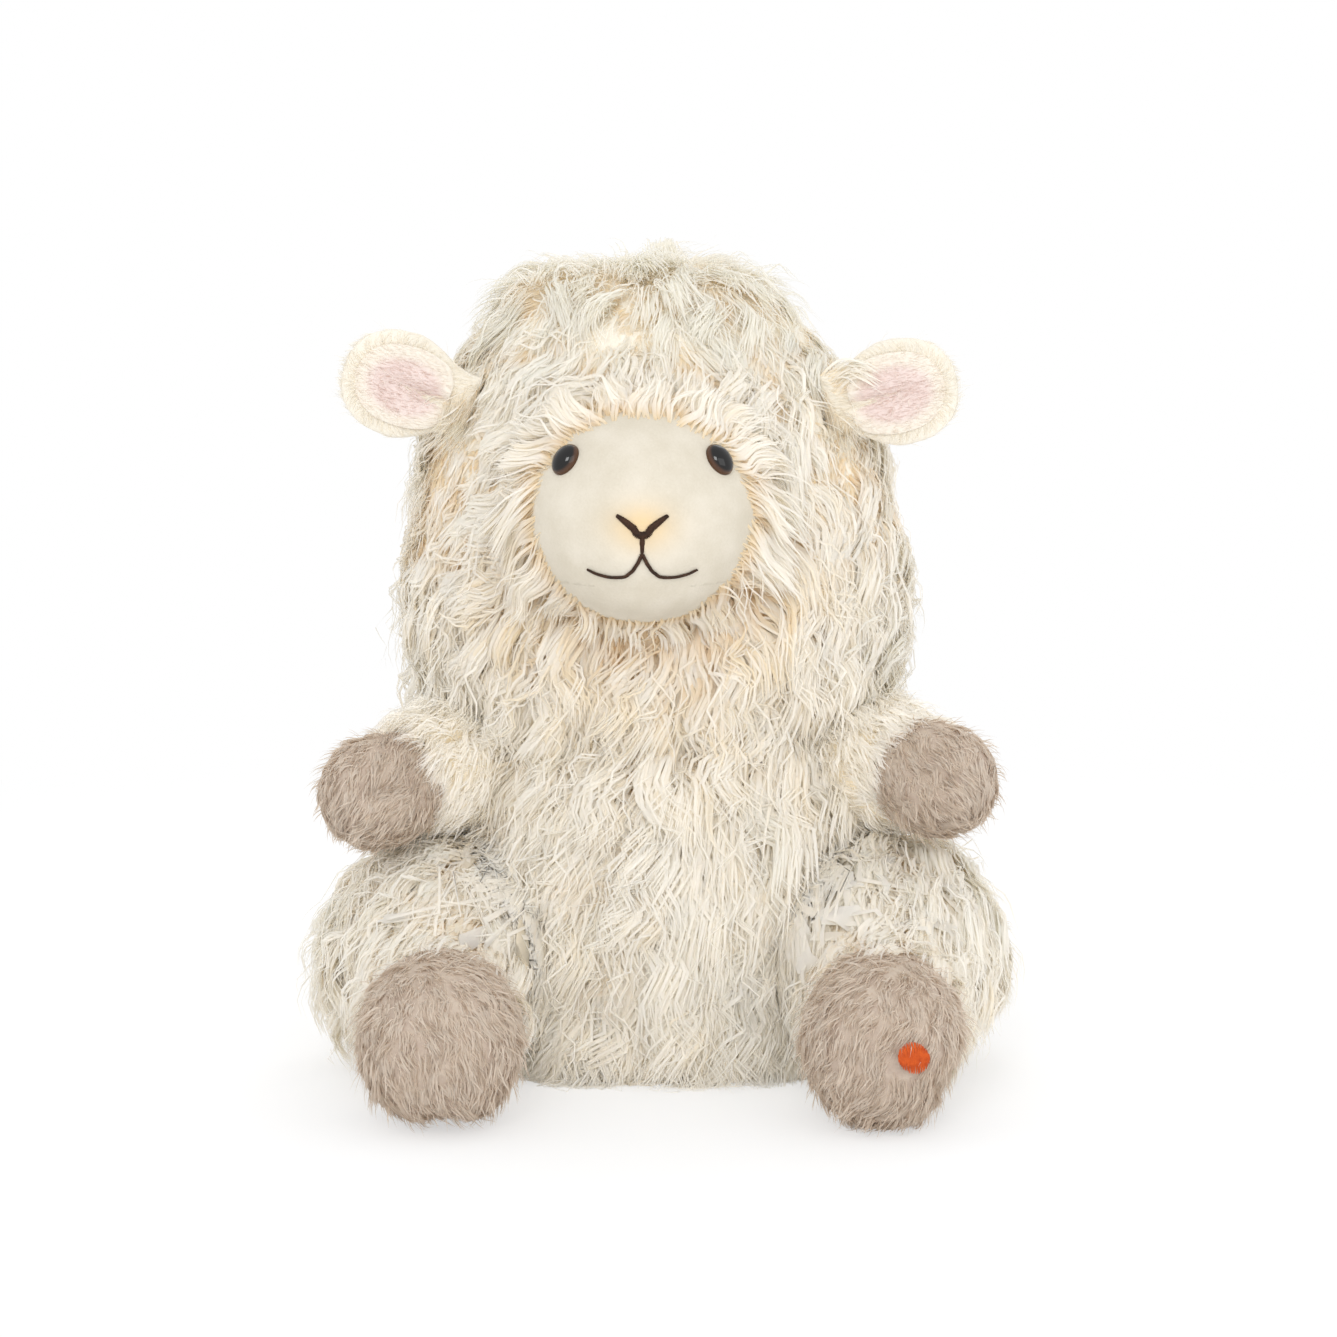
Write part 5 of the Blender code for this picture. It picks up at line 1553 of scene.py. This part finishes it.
@dataclass
class Head:
    """The hood with its wool, and its filling."""

    width: float = 164.0
    depth: float = 120.0
    height: float = 138.5
    lean: float = -7.0
    rise: float = 1.0
    inset: float = 3.4
    sink: float = 3.6
    face: Face = field(default_factory=Face)
    neck: Array = field(default_factory=lambda: joint_place("neck_nod"))
    shares: tuple = (
        (0.00, 0.80, 0.82), (0.07, 0.92, 0.92), (0.17, 0.985, 0.985), (0.31, 1.01, 1.00), (0.46, 0.975, 0.98),
        (0.61, 0.91, 0.94), (0.75, 0.79, 0.86), (0.86, 0.665, 0.74), (0.94, 0.53, 0.60), (0.985, 0.34, 0.39),
    )

    def base(self) -> float:
        """The height where the hood's outline starts."""
        return self.neck[2] + self.rise

    def inside(self, points: Array) -> Array:
        """Below 1 where a point is inside the hood's outline."""
        share = np.clip((points[:, 2] - self.base()) / self.height, 0.0, 1.0)
        table = self.shares + ((1.0, 0.02, 0.02),)
        across = self.width / 2 * read_table(table, share)
        along = self.depth / 2 * read_table(table, share, 2)
        x = points[:, 0] - self.neck[0] - self.lean * share**2
        return np.hypot(x / across, (points[:, 1] - self.neck[1]) / along)

    def skin(self) -> Form:
        """The smooth skin that the wool grows from."""
        rings = []
        shares = self.shares + ((1.0, 0.06, 0.07),)
        for share, across, along in spline(shares, 40):
            share = min(share, 1.0)
            height = self.base() + 2 + (self.height - 2 - self.inset) * share
            level = np.array([self.neck[0] + self.lean * share**2, self.neck[1], height])
            wide, deep = self.width / 2 * across, self.depth / 2 * along
            if across < 0.6:
                wide, deep = wide * (1 - self.inset / 80), deep * (1 - self.inset / 58)
            else:
                wide, deep = wide - self.inset, deep - self.inset
            rings.append(level_ring(level, wide, deep, HOOD_FACETS))
        return Form.capped(rings, 0.2 * UP)

    def pelt(self) -> Pelt:
        """What the hood's wool does at each spot."""
        form = self.skin()
        p, n = form.points, form.normals()
        c = np.array(self.face.centre)
        crown = np.array([self.neck[0] + self.lean, self.neck[1] + 6, self.base() + self.height])
        from_crown = unit(p - crown)
        x, z = p[:, 0] - c[0], p[:, 2] - c[2]
        about = np.hypot(x / (self.face.width / 2), z / (self.face.height / 2))
        front = smooth_step(-n[:, 1], 0.15, 0.55)
        near = (1 - smooth_step(about, 1.05, 2.0)) * front
        outwards = unit((p - c) * (1.0, 0.0, 1.0))
        side = smooth_step(p[:, 2], 238, 205)
        comb = from_crown * 1.0 - UP * (0.8 * side)[:, None]
        below = smooth_step(-z, -8, 18)
        away = outwards * 0.9 - UP * 0.75
        fringe = -UP * 0.9 + outwards * (0.9, 0.0, 0.0)
        by_face = away * below[:, None] + fringe * (1 - below)[:, None]
        comb = comb * (1 - near)[:, None] + by_face * near[:, None]
        top = smooth_step(p[:, 2], 222, 248)
        peak = smooth_step(n[:, 2], 0.75, 0.97)
        low = 1 - smooth_step(p[:, 2], 126, 152)
        span = 29 - 11 * top - 2 * peak - 9 * near * (1 - below) + 12 * low
        waist = np.exp(-(((p[:, 2] - 192) / 18) ** 2)) * np.abs(n[:, 0])
        chance = np.random.default_rng(12).uniform(0.4, 1.6, len(p))
        cheek = 5.0 * np.exp(-(((p[:, 2] - 150) / 14) ** 2)) * smooth_step(-n[:, 0], 0.3, 0.9)
        rise = (3.0 - 1.5 * top + 5.0 * peak + 1.5 * near + 2.0 * low + cheek) * (1 - 0.95 * waist) * chance
        bend = 0.010 - 0.006 * top - 0.014 * low + 0.010 * waist
        curl = 2.3 - 0.9 * top - 1.0 * waist
        amount = (
            (0.75 + 0.25 * smooth_step(-n[:, 1], -0.3, 0.2) + 0.5 * top)
            * smooth_step(about + (1 - front) * 2, 0.93, 1.0) * smooth_step(n[:, 2], -0.97, -0.85)
        )
        # Paler at the crown; darker below the face and low on the hood, which is painted shade under the face and by
        # the neck.
        tone = 0.76 + 0.19 * top - 0.18 * near * below - 0.08 * low
        for side in Side:
            root = joint_place("ear_fold_" + side.word)
            by_ear = 1 - smooth_step(np.linalg.norm((p - root - (0, -6, 0)) * (1.0, 1.0, 0.8), axis=1), 10, 27)
            span, rise = span * (1 - 0.74 * by_ear), rise * (1 - 0.85 * by_ear)
        ruffle = np.random.default_rng(7).normal(0.0, 1.0, p.shape)
        comb = comb + ruffle * (0.15 + 0.30 * top + 0.4 * peak)[:, None]
        return Pelt(form, comb, span, rise, bend, curl, tone, amount, 1 - 0.45 * top)

    def build(self, shop: Workshop) -> None:
        """Makes the head's own pieces."""
        def sunk(points: Array) -> Array:
            share = self.inside(points)
            return smooth_step(share, 0.93, 0.95) * (points[:, 2] > self.base() + 8) * (
                self.sink - np.clip((1 - share) * 70, 0.0, 3.0)
            )

        middle = (self.neck[0] + self.lean / 2, self.neck[1], self.base() + self.height * 0.42)
        cloth = pulled_in("head_cover", sunk, middle, (self.width / 2, self.depth / 2, self.height * 0.56))
        add_piece(
            "hood_cloth", refine(cloth.mesh("hood_cloth"), 1), shop.finish(HOOD_CLOTH), "head", ["head_cover"],
        )
        shop.quarters("hood_wool", self.pelt(), "head", self.neck[0] + self.lean / 2, 200)
        shop.wool("face_frill", self.face.frill(), "head", WOOL_PILES, 290)
        shop.filling("head_stuffing", "head")
        self.face.build(shop)


@dataclass
class Ear:
    """One ear: its plush back and its pink lining."""

    side: Side
    length: float = 39.0
    height: float = 34.0
    thickness: float = 8.0
    root_height: float = 20.0
    cup: float = 5.0
    hollow: float = 3.2
    margin: float = 4.0
    rise: float = 12.0
    shares: tuple = (
        (0.0, 0.59), (0.12, 0.66), (0.28, 0.86), (0.46, 1.0), (0.68, 0.96), (0.83, 0.80), (0.94, 0.53), (0.985, 0.28)
    )
    lining: tuple = ((0.0, 0.45), (0.15, 0.86), (0.40, 1.0), (0.65, 0.96), (0.85, 0.74), (0.96, 0.42), (0.99, 0.2))

    def axes(self) -> tuple[Array, Array, Array, Array]:
        """The root, the way along the ear, the way up it and the way out of its front."""
        sign = self.side.value
        angle = math.radians(self.rise)
        along = np.array([sign * math.cos(angle), 0, math.sin(angle)])
        up = np.array([-sign * math.sin(angle), 0, math.cos(angle)])
        return joint_place("ear_fold_" + self.side.word), along, up, np.array([0.0, -1.0, 0.0])

    def bent(self, points: Array) -> Array:
        """Points of a flat ear, cupped forwards along it and across it."""
        root, along, up, front = self.axes()
        away = points - root
        share = np.maximum(0.0, away @ along / self.length)
        across = away @ up / (self.height / 2)
        forward = self.cup * share**2 + self.hollow * (across**2 - 0.25) * smooth_step(share, 0.0, 0.35)
        return points + np.outer(forward, front)

    def build(self, shop: Workshop) -> None:
        """Makes the ear's pieces."""
        root, along, up, front = self.axes()
        word, body = self.side.word, "ear_" + self.side.word
        roll = self.thickness / 2
        rings = []
        for share in (0.98, 0.85, 0.6, 0.3):
            thick = roll * math.sqrt(1 - share**2)
            rings.append(ring(root - along * roll * share, up * self.root_height / 2, front * thick, EAR_FACETS))
        for share, reach in spline(self.shares, 30):
            thick = roll * (1 - 0.45 * share) * min(1.0, 1.8 * reach)
            rings.append(
                ring(root + along * self.length * share, up * self.height / 2 * reach, front * thick, EAR_FACETS)
            )
        back = Form.loft([rings[0].mean(axis=0)[None]] + rings + [root[None] + along * self.length])
        back.points = self.bent(back.points)
        add_piece(
            "ear_shell_" + word, back.mesh("ear"), shop.finish(EAR_CLOTH), body, ["ear_back_" + word],
        )
        rings = []
        start, end = 0.10, 1 - self.margin / self.length
        for place, reach in spline(self.lining, 30):
            share = start + (end - start) * min(place, 1.0)
            high = (self.height / 2 - self.margin) * reach
            level = root + along * self.length * share + front * (roll * (1 - 0.45 * share) - 0.6)
            rings.append(ring(level, up * high, front * (0.7 + 0.9 * reach), EAR_FACETS))
        lining = Form.capped(rings, along * 0.4)
        lining.points = self.bent(lining.points)
        away = lining.points - root
        share, across = away @ along / self.length, away @ up / (self.height / 2)
        fold = 1.7 * np.exp(-(((across - 0.12 - 0.1 * share) / 0.10) ** 2)) * smooth_step(share, 0.95, 0.25)
        dent = 1.3 * np.exp(-(((across + 0.12 - 0.25 * share) / 0.13) ** 2)) * smooth_step(share, 0.9, 0.2)
        lining.points = lining.points + np.outer(fold - dent, front)
        pale = smooth_step(np.hypot((share - 0.47) / 0.40, (across + 0.02) / 0.68), 0.62, 0.95)
        mesh = lining.mesh("lining")
        mark(mesh, "warm", pale)
        add_piece("ear_pink_" + word, mesh, shop.finish(PINK_CLOTH), body, ["ear_lining_" + word])
        self._pile(shop, back, "ear_pile_" + word, EAR_STRANDS, 500, 4.4, False)
        self._pile(shop, lining, "ear_pink_pile_" + word, PINK_STRANDS, 540, 2.0, True)
        self._tufts(shop, back)

    def _pile(
        self, shop: Workshop, form: Form, name: str, finish: Finish, seed: int, span: float, facing: bool
    ) -> None:
        """Grows the short pile on a part of the ear."""
        root, along, up, front = self.axes()
        n = form.normals()
        amount = smooth_step(n @ front, 0.0, 0.3) if facing else 1.0
        away = form.points - root - along * self.length * 0.45
        inwards = -unit(away - np.outer(away @ front, front))
        comb = along + (np.zeros(3) if facing else inwards * 2.0 * smooth_step(n @ front, -0.2, 0.2)[:, None])
        share, across = away @ along / self.length, away @ up / (self.height / 2)
        pale = smooth_step(np.hypot((share - 0.02) / 0.40, (across + 0.02) / 0.68), 0.62, 0.95)
        tone = 0.12 + 0.8 * pale if facing else 0.9
        pelt = Pelt(form, comb, span, rise=0.2, bend=0.03, curl=0.0, tone=tone, amount=amount, girth=0.6)
        shop.wool(name, pelt, "ear_" + self.side.word, [Pile.FUZZ], seed + self.side.value, finish)

    def _tufts(self, shop: Workshop, form: Form) -> None:
        """Grows the long wool that falls over the ear's root."""
        root, along, up, front = self.axes()
        n = form.normals()
        share = (form.points - root) @ along / self.length
        high = (form.points - root) @ up / (self.height / 2)
        amount = (
            (1 - smooth_step(share, 0.04, 0.24)) * smooth_step(n @ front, -0.6, 0.2)
            * (0.5 + 0.5 * smooth_step(high, -0.9, -0.2))
        )
        comb = along * 0.9 - up * 0.5 + np.outer(high, up) * 0.5
        pelt = Pelt(form, comb, span=12.0, rise=2.0, bend=0.02, curl=0.9, tone=0.85, amount=amount * 0.7, girth=0.6)
        shop.wool("ear_tufts_" + self.side.word, pelt, "ear_" + self.side.word, WOOL_PILES, 560 + self.side.value)


@dataclass
class Limb:
    """What arms and legs share: a ball that runs out into a taper, and a cloven paw or foot."""

    side: Side
    joint: str
    direction: Array
    ball: float
    end: float
    length: float
    taper: tuple
    hoof: float
    hoof_shares: tuple
    tip: float
    cleft: float
    cleft_deg: float
    wall: float = 5.0
    split_deg: float = 24.0

    def pivot(self) -> Array:
        """The centre of the ball."""
        return joint_place(self.joint + "_" + self.side.word)

    def balls(self) -> list[tuple[Array, float]]:
        """Balls that stand for the limb's inner half, for wool that lies over it."""
        shares = np.linspace(0.0, 0.5, 5)
        reach = self.ball + (self.end - self.ball) * read_table([(0.0, 0.0), *self.taper], shares)
        return [(self.pivot() + self.direction * self.length * s, r + 3.5) for s, r in zip(shares, reach)]

    def sleeve(self, inset: float, facets: int = 56) -> list[Array]:
        """The cover from the pole of its ball to its far rim."""
        pivot, direction = self.pivot(), self.direction
        across, along = side_axes(direction)
        radius = self.ball - inset
        places = [(radius * math.sin(a), radius * math.cos(a)) for a in np.radians(np.linspace(-84, 0, 14))]
        table = [places[-1]] + [
            (self.length * share, self.ball + (self.end - self.ball) * part - inset) for share, part in self.taper
        ]
        places += [tuple(row) for row in spline(table, 16)[1:]]
        rings = [ring(pivot + direction * p, across * r, along * r, facets) for p, r in places]
        return [(pivot - direction * radius)[None]] + rings

    def toes(self, inset: float, facets: int = 64) -> list[Array]:
        """The paw or foot from its rim to its tip, with the groove between its toes."""
        pivot, direction = self.pivot() + self.direction * 0.3, self.direction
        across, along = side_axes(direction)
        table = spline(
            [(s * self.length, r * self.hoof, d) for s, r, d in self.hoof_shares] + [
                (self.tip * self.length, 0.02 * self.hoof, 0.0)
            ],
            34
        )
        run = np.gradient(table[:, :2], axis=0)
        out = np.stack([-run[:, 1], run[:, 0]], axis=1) / np.linalg.norm(run, axis=1, keepdims=True)
        made = []
        for i, (place, base, depth) in enumerate(table):
            p, r = (place, base - inset) if i == 0 else (place - out[i, 0] * inset, base - out[i, 1] * inset)
            r = max(r, 0.05)

            def grooved(angle: Array, r: float = r, depth: float = depth) -> Array:
                away = (angle - math.radians(self.cleft_deg) + math.pi) % (2 * math.pi) - math.pi
                return 1 - min(0.9, self.cleft * max(0.0, depth) / max(r, 4.0)) * np.exp(
                    -((away / math.radians(self.split_deg)) ** 2)
                )

            made.append(ring(pivot + direction * p, across * r, along * r, facets, grooved))
        return made + [(pivot + direction * (table[-1, 0] + 0.1 - inset))[None]]

    def cover(self) -> Form:
        """The cover as a wall of cloth."""
        return self.on_floor(Form.loft(self.sleeve(0.0) + self.sleeve(self.wall)[::-1]))

    def hoof_cover(self, sink: float = 0.0) -> Form:
        """The paw or foot as a wall of cloth."""
        return self.on_floor(Form.loft(self.toes(sink)[::-1] + self.toes(self.wall)))

    @staticmethod
    def on_floor(form: Form) -> Form:
        """The form with what is below the floor pressed flat on it."""
        points = form.points.copy()
        points[:, 2] = np.maximum(points[:, 2], 0.25)
        return Form(points, form.faces)


@dataclass
class Arm(Limb):
    """One arm with its paw."""

    def build(self, shop: Workshop) -> None:
        """Makes the arm's pieces."""
        word, body = self.side.word, "arm_" + self.side.word
        add_piece(
            "sleeve_" + word, self.cover().mesh("sleeve"), shop.finish(SLEEVE_CLOTH), body, ["arm_cover_" + word],
        )
        add_piece(
            "paw_cloth_" + word, self.hoof_cover(0.6).mesh("paw"), shop.finish(TAUPE_CLOTH), body, ["paw_" + word],
        )
        shop.filling("arm_stuffing_" + word, body)
        form = Form.loft(self.sleeve(1.2))
        p, n = form.points, form.normals()
        far = (p - self.pivot()) @ self.direction
        comb = self.direction - 0.35 * UP
        over = smooth_step(n[:, 2], -0.2, 0.8)
        pelt = Pelt(
            form, comb, span=10.0 + 4 * over, rise=2.6 + 3.4 * over, bend=0.03, curl=0.9, tone=0.8,
            amount=smooth_step(far, -14, -6), girth=1.4,
        )
        shop.wool(
            "sleeve_pile_" + word, pelt, body, [Pile.COMBED], 600 + self.side.value, SLEEVE_STRANDS
        )
        form = Form.loft(self.toes(1.0))
        p, n = form.points, form.normals()
        comb = self.direction * 0.7 - UP * 0.5
        # Paler where the pile faces up: painted light from above.
        tone = 0.62 + 0.25 * smooth_step(n[:, 2], -0.4, 0.8)
        pelt = Pelt(form, comb, span=6.0, rise=1.4, bend=0.045, curl=0.4, tone=tone, amount=1.0)
        shop.wool("paw_pile_" + word, pelt, body, [Pile.COMBED], 620 + self.side.value, TAUPE_STRANDS)


@dataclass
class Leg(Limb):
    """One leg with its foot."""

    trunk: Trunk = field(default_factory=Trunk)
    inset: float = 3.2
    dot: float = 4.8

    def pelt(self) -> Pelt:
        """What the leg's wool does at each spot."""
        sign = self.side.value
        form = Form.loft(self.sleeve(self.inset, 64))
        p, n = form.points, form.normals()
        away = p - self.pivot()
        far = away @ self.direction
        fall = np.outer(0.35 + 0.45 * smooth_step(np.abs(n[:, 0]), 0.2, 0.8), UP)
        comb = self.direction * 0.75 - fall + sign * LEFT * 0.3
        comb = comb + np.outer(smooth_step(n[:, 1], 0.0, 0.6), np.array([sign * 0.5, 0.3, -0.8]))
        under = 1 - smooth_step(p[:, 2], 14.0, 34.0)
        comb = comb - np.outer(under, np.array([sign * 1.3, 0.3, 0.0]))
        outside = smooth_step(self.trunk.inside(p), 0.93, 0.99) * smooth_step(-away[:, 1], -40, -20)
        ground = smooth_step(p[:, 2], 3.0, 8.0)
        high = smooth_step(away[:, 2], 0, 25)
        span = 24 + 4 * high - 10 * (1 - smooth_step(p[:, 2], 5, 28)) - 8 * smooth_step(far, 35, 60)
        # Paler on top of the leg and darker near the floor: painted light on top and painted shade at the floor.
        tone = 0.70 + 0.1 * high - 0.15 * (1 - smooth_step(p[:, 2], 8, 30))
        return Pelt(
            form, comb, span, rise=4.5 - 3.2 * under, bend=0.014 + 0.012 * under, curl=1.9 - 0.8 * under, tone=tone,
            amount=outside * ground,
        )

    def build(self, shop: Workshop) -> None:
        """Makes the leg's pieces."""
        word, body = self.side.word, "leg_" + self.side.word
        pivot = self.pivot()

        def sunk(points: Array) -> Array:
            away = points - pivot
            far = away @ self.direction
            off = lengths(away - np.outer(far, self.direction))
            table = [(self.length * s, self.ball + (self.end - self.ball) * part) for s, part in self.taper]
            wide = read_table([(0.0, self.ball), *table], far)
            reach = np.where(far > 0, off / wide, lengths(away) / self.ball)
            return 3.5 * smooth_step(reach, 0.95, 0.975) * (self.trunk.inside(points) > 1.0)

        cloth = pulled_in("leg_cover_" + word, sunk, pivot, (self.ball, 2 * self.ball, self.ball))
        add_piece(
            "leg_cloth_" + word, refine(cloth.mesh("leg"), 1), shop.finish(WOOL_CLOTH), body, ["leg_cover_" + word],
        )
        add_piece(
            "foot_cloth_" + word, self.hoof_cover(1.6).mesh("foot"), shop.finish(TAUPE_CLOTH), body, ["foot_" + word],
        )
        shop.filling("leg_stuffing_" + word, body)
        shop.wool("leg_wool_" + word, self.pelt(), body, WOOL_PILES, 300 + 7 * self.side.value)
        form = Form.loft(self.toes(2.4))
        p, n = form.points, form.normals()
        sign = self.side.value
        comb = -UP + np.array([-sign * 0.35, -0.2, 0.0])
        clear = 1.0
        if self.side is Side.LEFT:
            spot, out = self.dot_place()
            clear = smooth_step(lengths(p - spot), 5.4, 7.0)
        # Paler where the pile faces up and darker where it faces down: painted light from above and painted shade
        # beneath.
        tone = 0.60 + 0.25 * smooth_step(n[:, 2], -0.3, 0.9) - 0.15 * smooth_step(-n[:, 2], 0.1, 0.8)
        amount = smooth_step(p[:, 2], 0.2, 2.0) * clear
        span = np.minimum(6.5, 2.0 + p[:, 2])
        pelt = Pelt(form, comb, span, rise=1.8, bend=0.035, curl=0.5, tone=tone, amount=amount)
        shop.wool("foot_pile_" + word, pelt, body, [Pile.COMBED], 640 + sign, TAUPE_STRANDS)
        if self.side is Side.LEFT:
            self._dot(shop)

    def dot_place(self) -> tuple[Array, Array]:
        """The middle of the stitched dot and the way out of the foot there."""
        low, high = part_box("foot_dot")
        middle = np.array((low + high) / 2) / MM
        form = Form.loft(self.toes(0.0))
        nearest = int(np.argmin(lengths(form.points - middle)))
        return middle, form.normals()[nearest]

    def _dot(self, shop: Workshop) -> None:
        """Sews the round dot in satin stitch."""
        middle, out = self.dot_place()
        across, up = side_axes(out)
        radius = self.dot
        share = np.linspace(-0.97, 0.97, 40)
        places = middle + np.outer(share * radius, across) - out * 0.1
        reach = radius * np.sqrt(1 - share**2)
        sewn = shop.stitches.sew(places, np.tile(out, (40, 1)), reach, 30, 0.24, 0.12, 0.55, shop.finish(RUST_THREAD))
        add_piece("dot_thread", sewn, shop.finish(RUST_THREAD), "leg_left", ["foot_dot"])


@dataclass
class Tail:
    """The short woolly tail."""

    radius: float = 10.5
    length: float = 34.0
    droop: float = 42.0
    shares: tuple = (
        (-0.26, 0.25), (-0.2, 0.6), (-0.1, 0.8), (0.1, 0.84), (0.35, 0.92), (0.55, 1.0), (0.75, 0.90), (0.92, 0.55),
        (0.99, 0.15),
    )

    def form(self, inset: float) -> Form:
        """The tail's skin."""
        pivot = joint_place("tail_wag")
        angle = math.radians(self.droop)
        direction = np.array([0.0, math.cos(angle), -math.sin(angle)])
        across, along = side_axes(direction)
        rings = []
        for share, reach in spline(self.shares, 24):
            wide = max(0.3, self.radius * reach - inset)
            rings.append(ring(pivot + direction * self.length * share, across * wide, along * wide, TAIL_FACETS))
        return Form.capped(rings, direction * 0.2)

    def build(self, shop: Workshop) -> None:
        """Makes the tail's pieces."""
        add_piece(
            "tail_cloth", self.form(1.0).mesh("tail"), shop.finish(HOOD_CLOTH), "tail", ["tail"]
        )
        form = self.form(3.0)
        p = form.points
        angle = math.radians(self.droop)
        comb = np.array([0.0, math.cos(angle), -math.sin(angle) - 0.4])
        pivot = joint_place("tail_wag")
        amount = smooth_step(p[:, 1] - pivot[1], -7, -1) * 1.8
        pelt = Pelt(form, comb, span=17.0, rise=3.0, bend=0.02, curl=1.2, tone=0.7, amount=amount)
        shop.wool("tail_wool", pelt, "tail", WOOL_PILES, 350)


@dataclass(frozen=True)
class Studio:
    """The floor, the lights and the camera."""

    target: tuple[float, float, float] = (0.002, 0.0, 0.125)
    distance: float = 1.4
    view: float = 0.4385
    pitch: float = 9.0

    def camera(self) -> None:
        """Places the camera where the photograph was taken from."""
        data = bpy.data.cameras.new("camera")
        data.sensor_width = 36.0
        data.lens = 36.0 * self.distance / self.view
        data.clip_end = 30.0
        made = put("camera", data)
        angle = math.radians(self.pitch)
        made.location = Vector(self.target) + Vector((0, -math.cos(angle), math.sin(angle))) * self.distance
        made.rotation_euler = (math.radians(90 - self.pitch), 0, 0)
        bpy.context.scene.camera = made

    def _lamp(self, name: str, place: tuple[float, float, float], power: float, size: float) -> None:
        """Adds a soft square lamp that faces the sheep."""
        data = bpy.data.lights.new(name, "AREA")
        data.energy = power
        data.size = size
        made = put(name, data)
        made.location = place
        made.rotation_euler = (Vector((0, 0, 0.12)) - Vector(place)).to_track_quat("-Z", "Y").to_euler()

    def lights(self) -> None:
        """Adds the lamps and the world."""
        self._lamp("key", (-0.3, -1.9, 1.1), 11.0, 0.7)
        self._lamp("fill", (1.1, -1.8, 0.6), 8.0, 1.6)
        self._lamp("rim", (0.3, 1.6, 1.6), 8.0, 1.4)
        world = bpy.data.worlds.new("studio")
        bpy.context.scene.world = world
        world.use_nodes = True
        world.node_tree.nodes.clear()
        maker = Maker(world.node_tree)
        ray = maker.node("ShaderNodeLightPath", out="Is Camera Ray")
        seen = ray.highest(ray.out("Is Glossy Ray")).highest(ray.out("Is Transmission Ray"))
        lit = maker.node("ShaderNodeBackground", {}, {"Color": (1.0, 1.0, 1.0, 1.0), "Strength": 1.0})
        white = maker.node("ShaderNodeBackground", {}, {"Color": (1.0, 1.0, 1.0, 1.0), "Strength": 1.0})
        mixed = maker.node("ShaderNodeMixShader", {}, {0: seen, 1: lit, 2: white})
        maker.node("ShaderNodeOutputWorld", {}, {"Surface": mixed})

    def floor(self) -> None:
        """Adds the pale floor, which fades into the white behind it."""
        mesh = bpy.data.meshes.new("floor")
        mesh.from_pydata([(-6, -6, 0), (6, -6, 0), (6, 6, 0), (-6, 6, 0)], [], [(0, 1, 2, 3)])
        made = put("floor", mesh)
        surface = bpy.data.materials.new("floor")
        surface.use_nodes = True
        surface.node_tree.nodes.clear()
        maker = Maker(surface.node_tree)
        place = maker.node("ShaderNodeTexCoord", out="Object")
        away = (place * (1.0, 1.0, 0.0)).length().ramp(0.16, 0.55)
        ray = maker.node("ShaderNodeLightPath", out="Is Camera Ray")
        seen = ray.highest(ray.out("Is Glossy Ray")).highest(ray.out("Is Transmission Ray"))
        matt = maker.node("ShaderNodeBsdfDiffuse", {}, {"Color": (0.93, 0.93, 0.93, 1.0)})
        white = maker.node("ShaderNodeEmission", {}, {"Color": (1.0, 1.0, 1.0, 1.0), "Strength": 1.0})
        mixed = maker.node("ShaderNodeMixShader", {}, {0: seen * (away * 0.45 + 0.55), 1: matt, 2: white})
        maker.node("ShaderNodeOutputMaterial", {}, {"Surface": mixed})
        mesh.materials.append(surface)


def limb_direction(side: Side, spread: float, droop: float) -> Array:
    """The way that an arm points, from its spread and its droop in degrees."""
    level = np.array([side.value * math.sin(math.radians(spread)), -math.cos(math.radians(spread)), 0.0])
    return level * math.cos(math.radians(droop)) - UP * math.sin(math.radians(droop))


def make_arm(side: Side) -> Arm:
    """One arm with its sizes."""
    spread, droop, cleft = (36.0, 0.0, 22.5) if side is Side.LEFT else (40.0, 5.0, 157.5)
    taper = ((0.42, 0.35), (0.60, 0.75), (0.70, 1.0))
    toes = (
        (0.70, 0.92, 0.0), (0.82, 0.98, 0.25), (0.98, 1.0, 0.7), (1.14, 0.93, 1.0), (1.27, 0.72, 0.9),
        (1.35, 0.42, 0.4),
    )
    return Arm(
        side, "shoulder", limb_direction(side, spread, droop), ball=21.0, end=16.5, length=48.0, taper=taper,
        hoof=18.0, hoof_shares=toes, tip=1.375, cleft=5.0, cleft_deg=cleft,
    )


def make_leg(side: Side, trunk: Trunk) -> Leg:
    """One leg with its sizes."""
    length = 84.0
    drop, inwards = 12.0 / length, -side.value * 3.0 / length
    direction = np.array([inwards, -math.sqrt(1 - drop**2 - inwards**2), -drop])
    taper = ((0.22, 0.22), (0.42, 0.62), (0.60, 0.92), (0.72, 1.0))
    toes = (
        (0.72, 0.93, 0.0), (0.82, 0.985, 0.2), (0.95, 1.0, 0.6), (1.08, 0.96, 1.0), (1.19, 0.80, 0.9),
        (1.26, 0.52, 0.4),
    )
    cleft = 202.5 if side is Side.LEFT else 270.0
    return Leg(
        side, "hip", direction, ball=38.0, end=24.0, length=length, taper=taper, hoof=26.0, hoof_shares=toes,
        tip=1.29, cleft=4.0, cleft_deg=cleft, trunk=trunk,
    )


def main() -> None:
    """Makes the whole scene, sub-assembly by sub-assembly."""
    logging.basicConfig(level=logging.INFO, format="%(message)s")
    scene = bpy.context.scene
    scene.view_settings.view_transform = "Standard"
    scene.cycles.max_bounces = 16
    scene.cycles.diffuse_bounces = 14
    studio = Studio()
    studio.camera()
    studio.lights()
    studio.floor()
    shop = Workshop(Strands(), Stitches(), {})
    trunk, head = Trunk(), Head()
    arms = [make_arm(side) for side in Side]
    legs = [make_leg(side, trunk) for side in Side]
    trunk.build(shop, legs, arms)
    head.build(shop)
    for side, rise in ((Side.LEFT, 12.0), (Side.RIGHT, 19.0)):
        Ear(side, rise=rise).build(shop)
    for limb in arms + legs:
        limb.build(shop)
    Tail().build(shop)


if __name__ == "__main__":
    main()
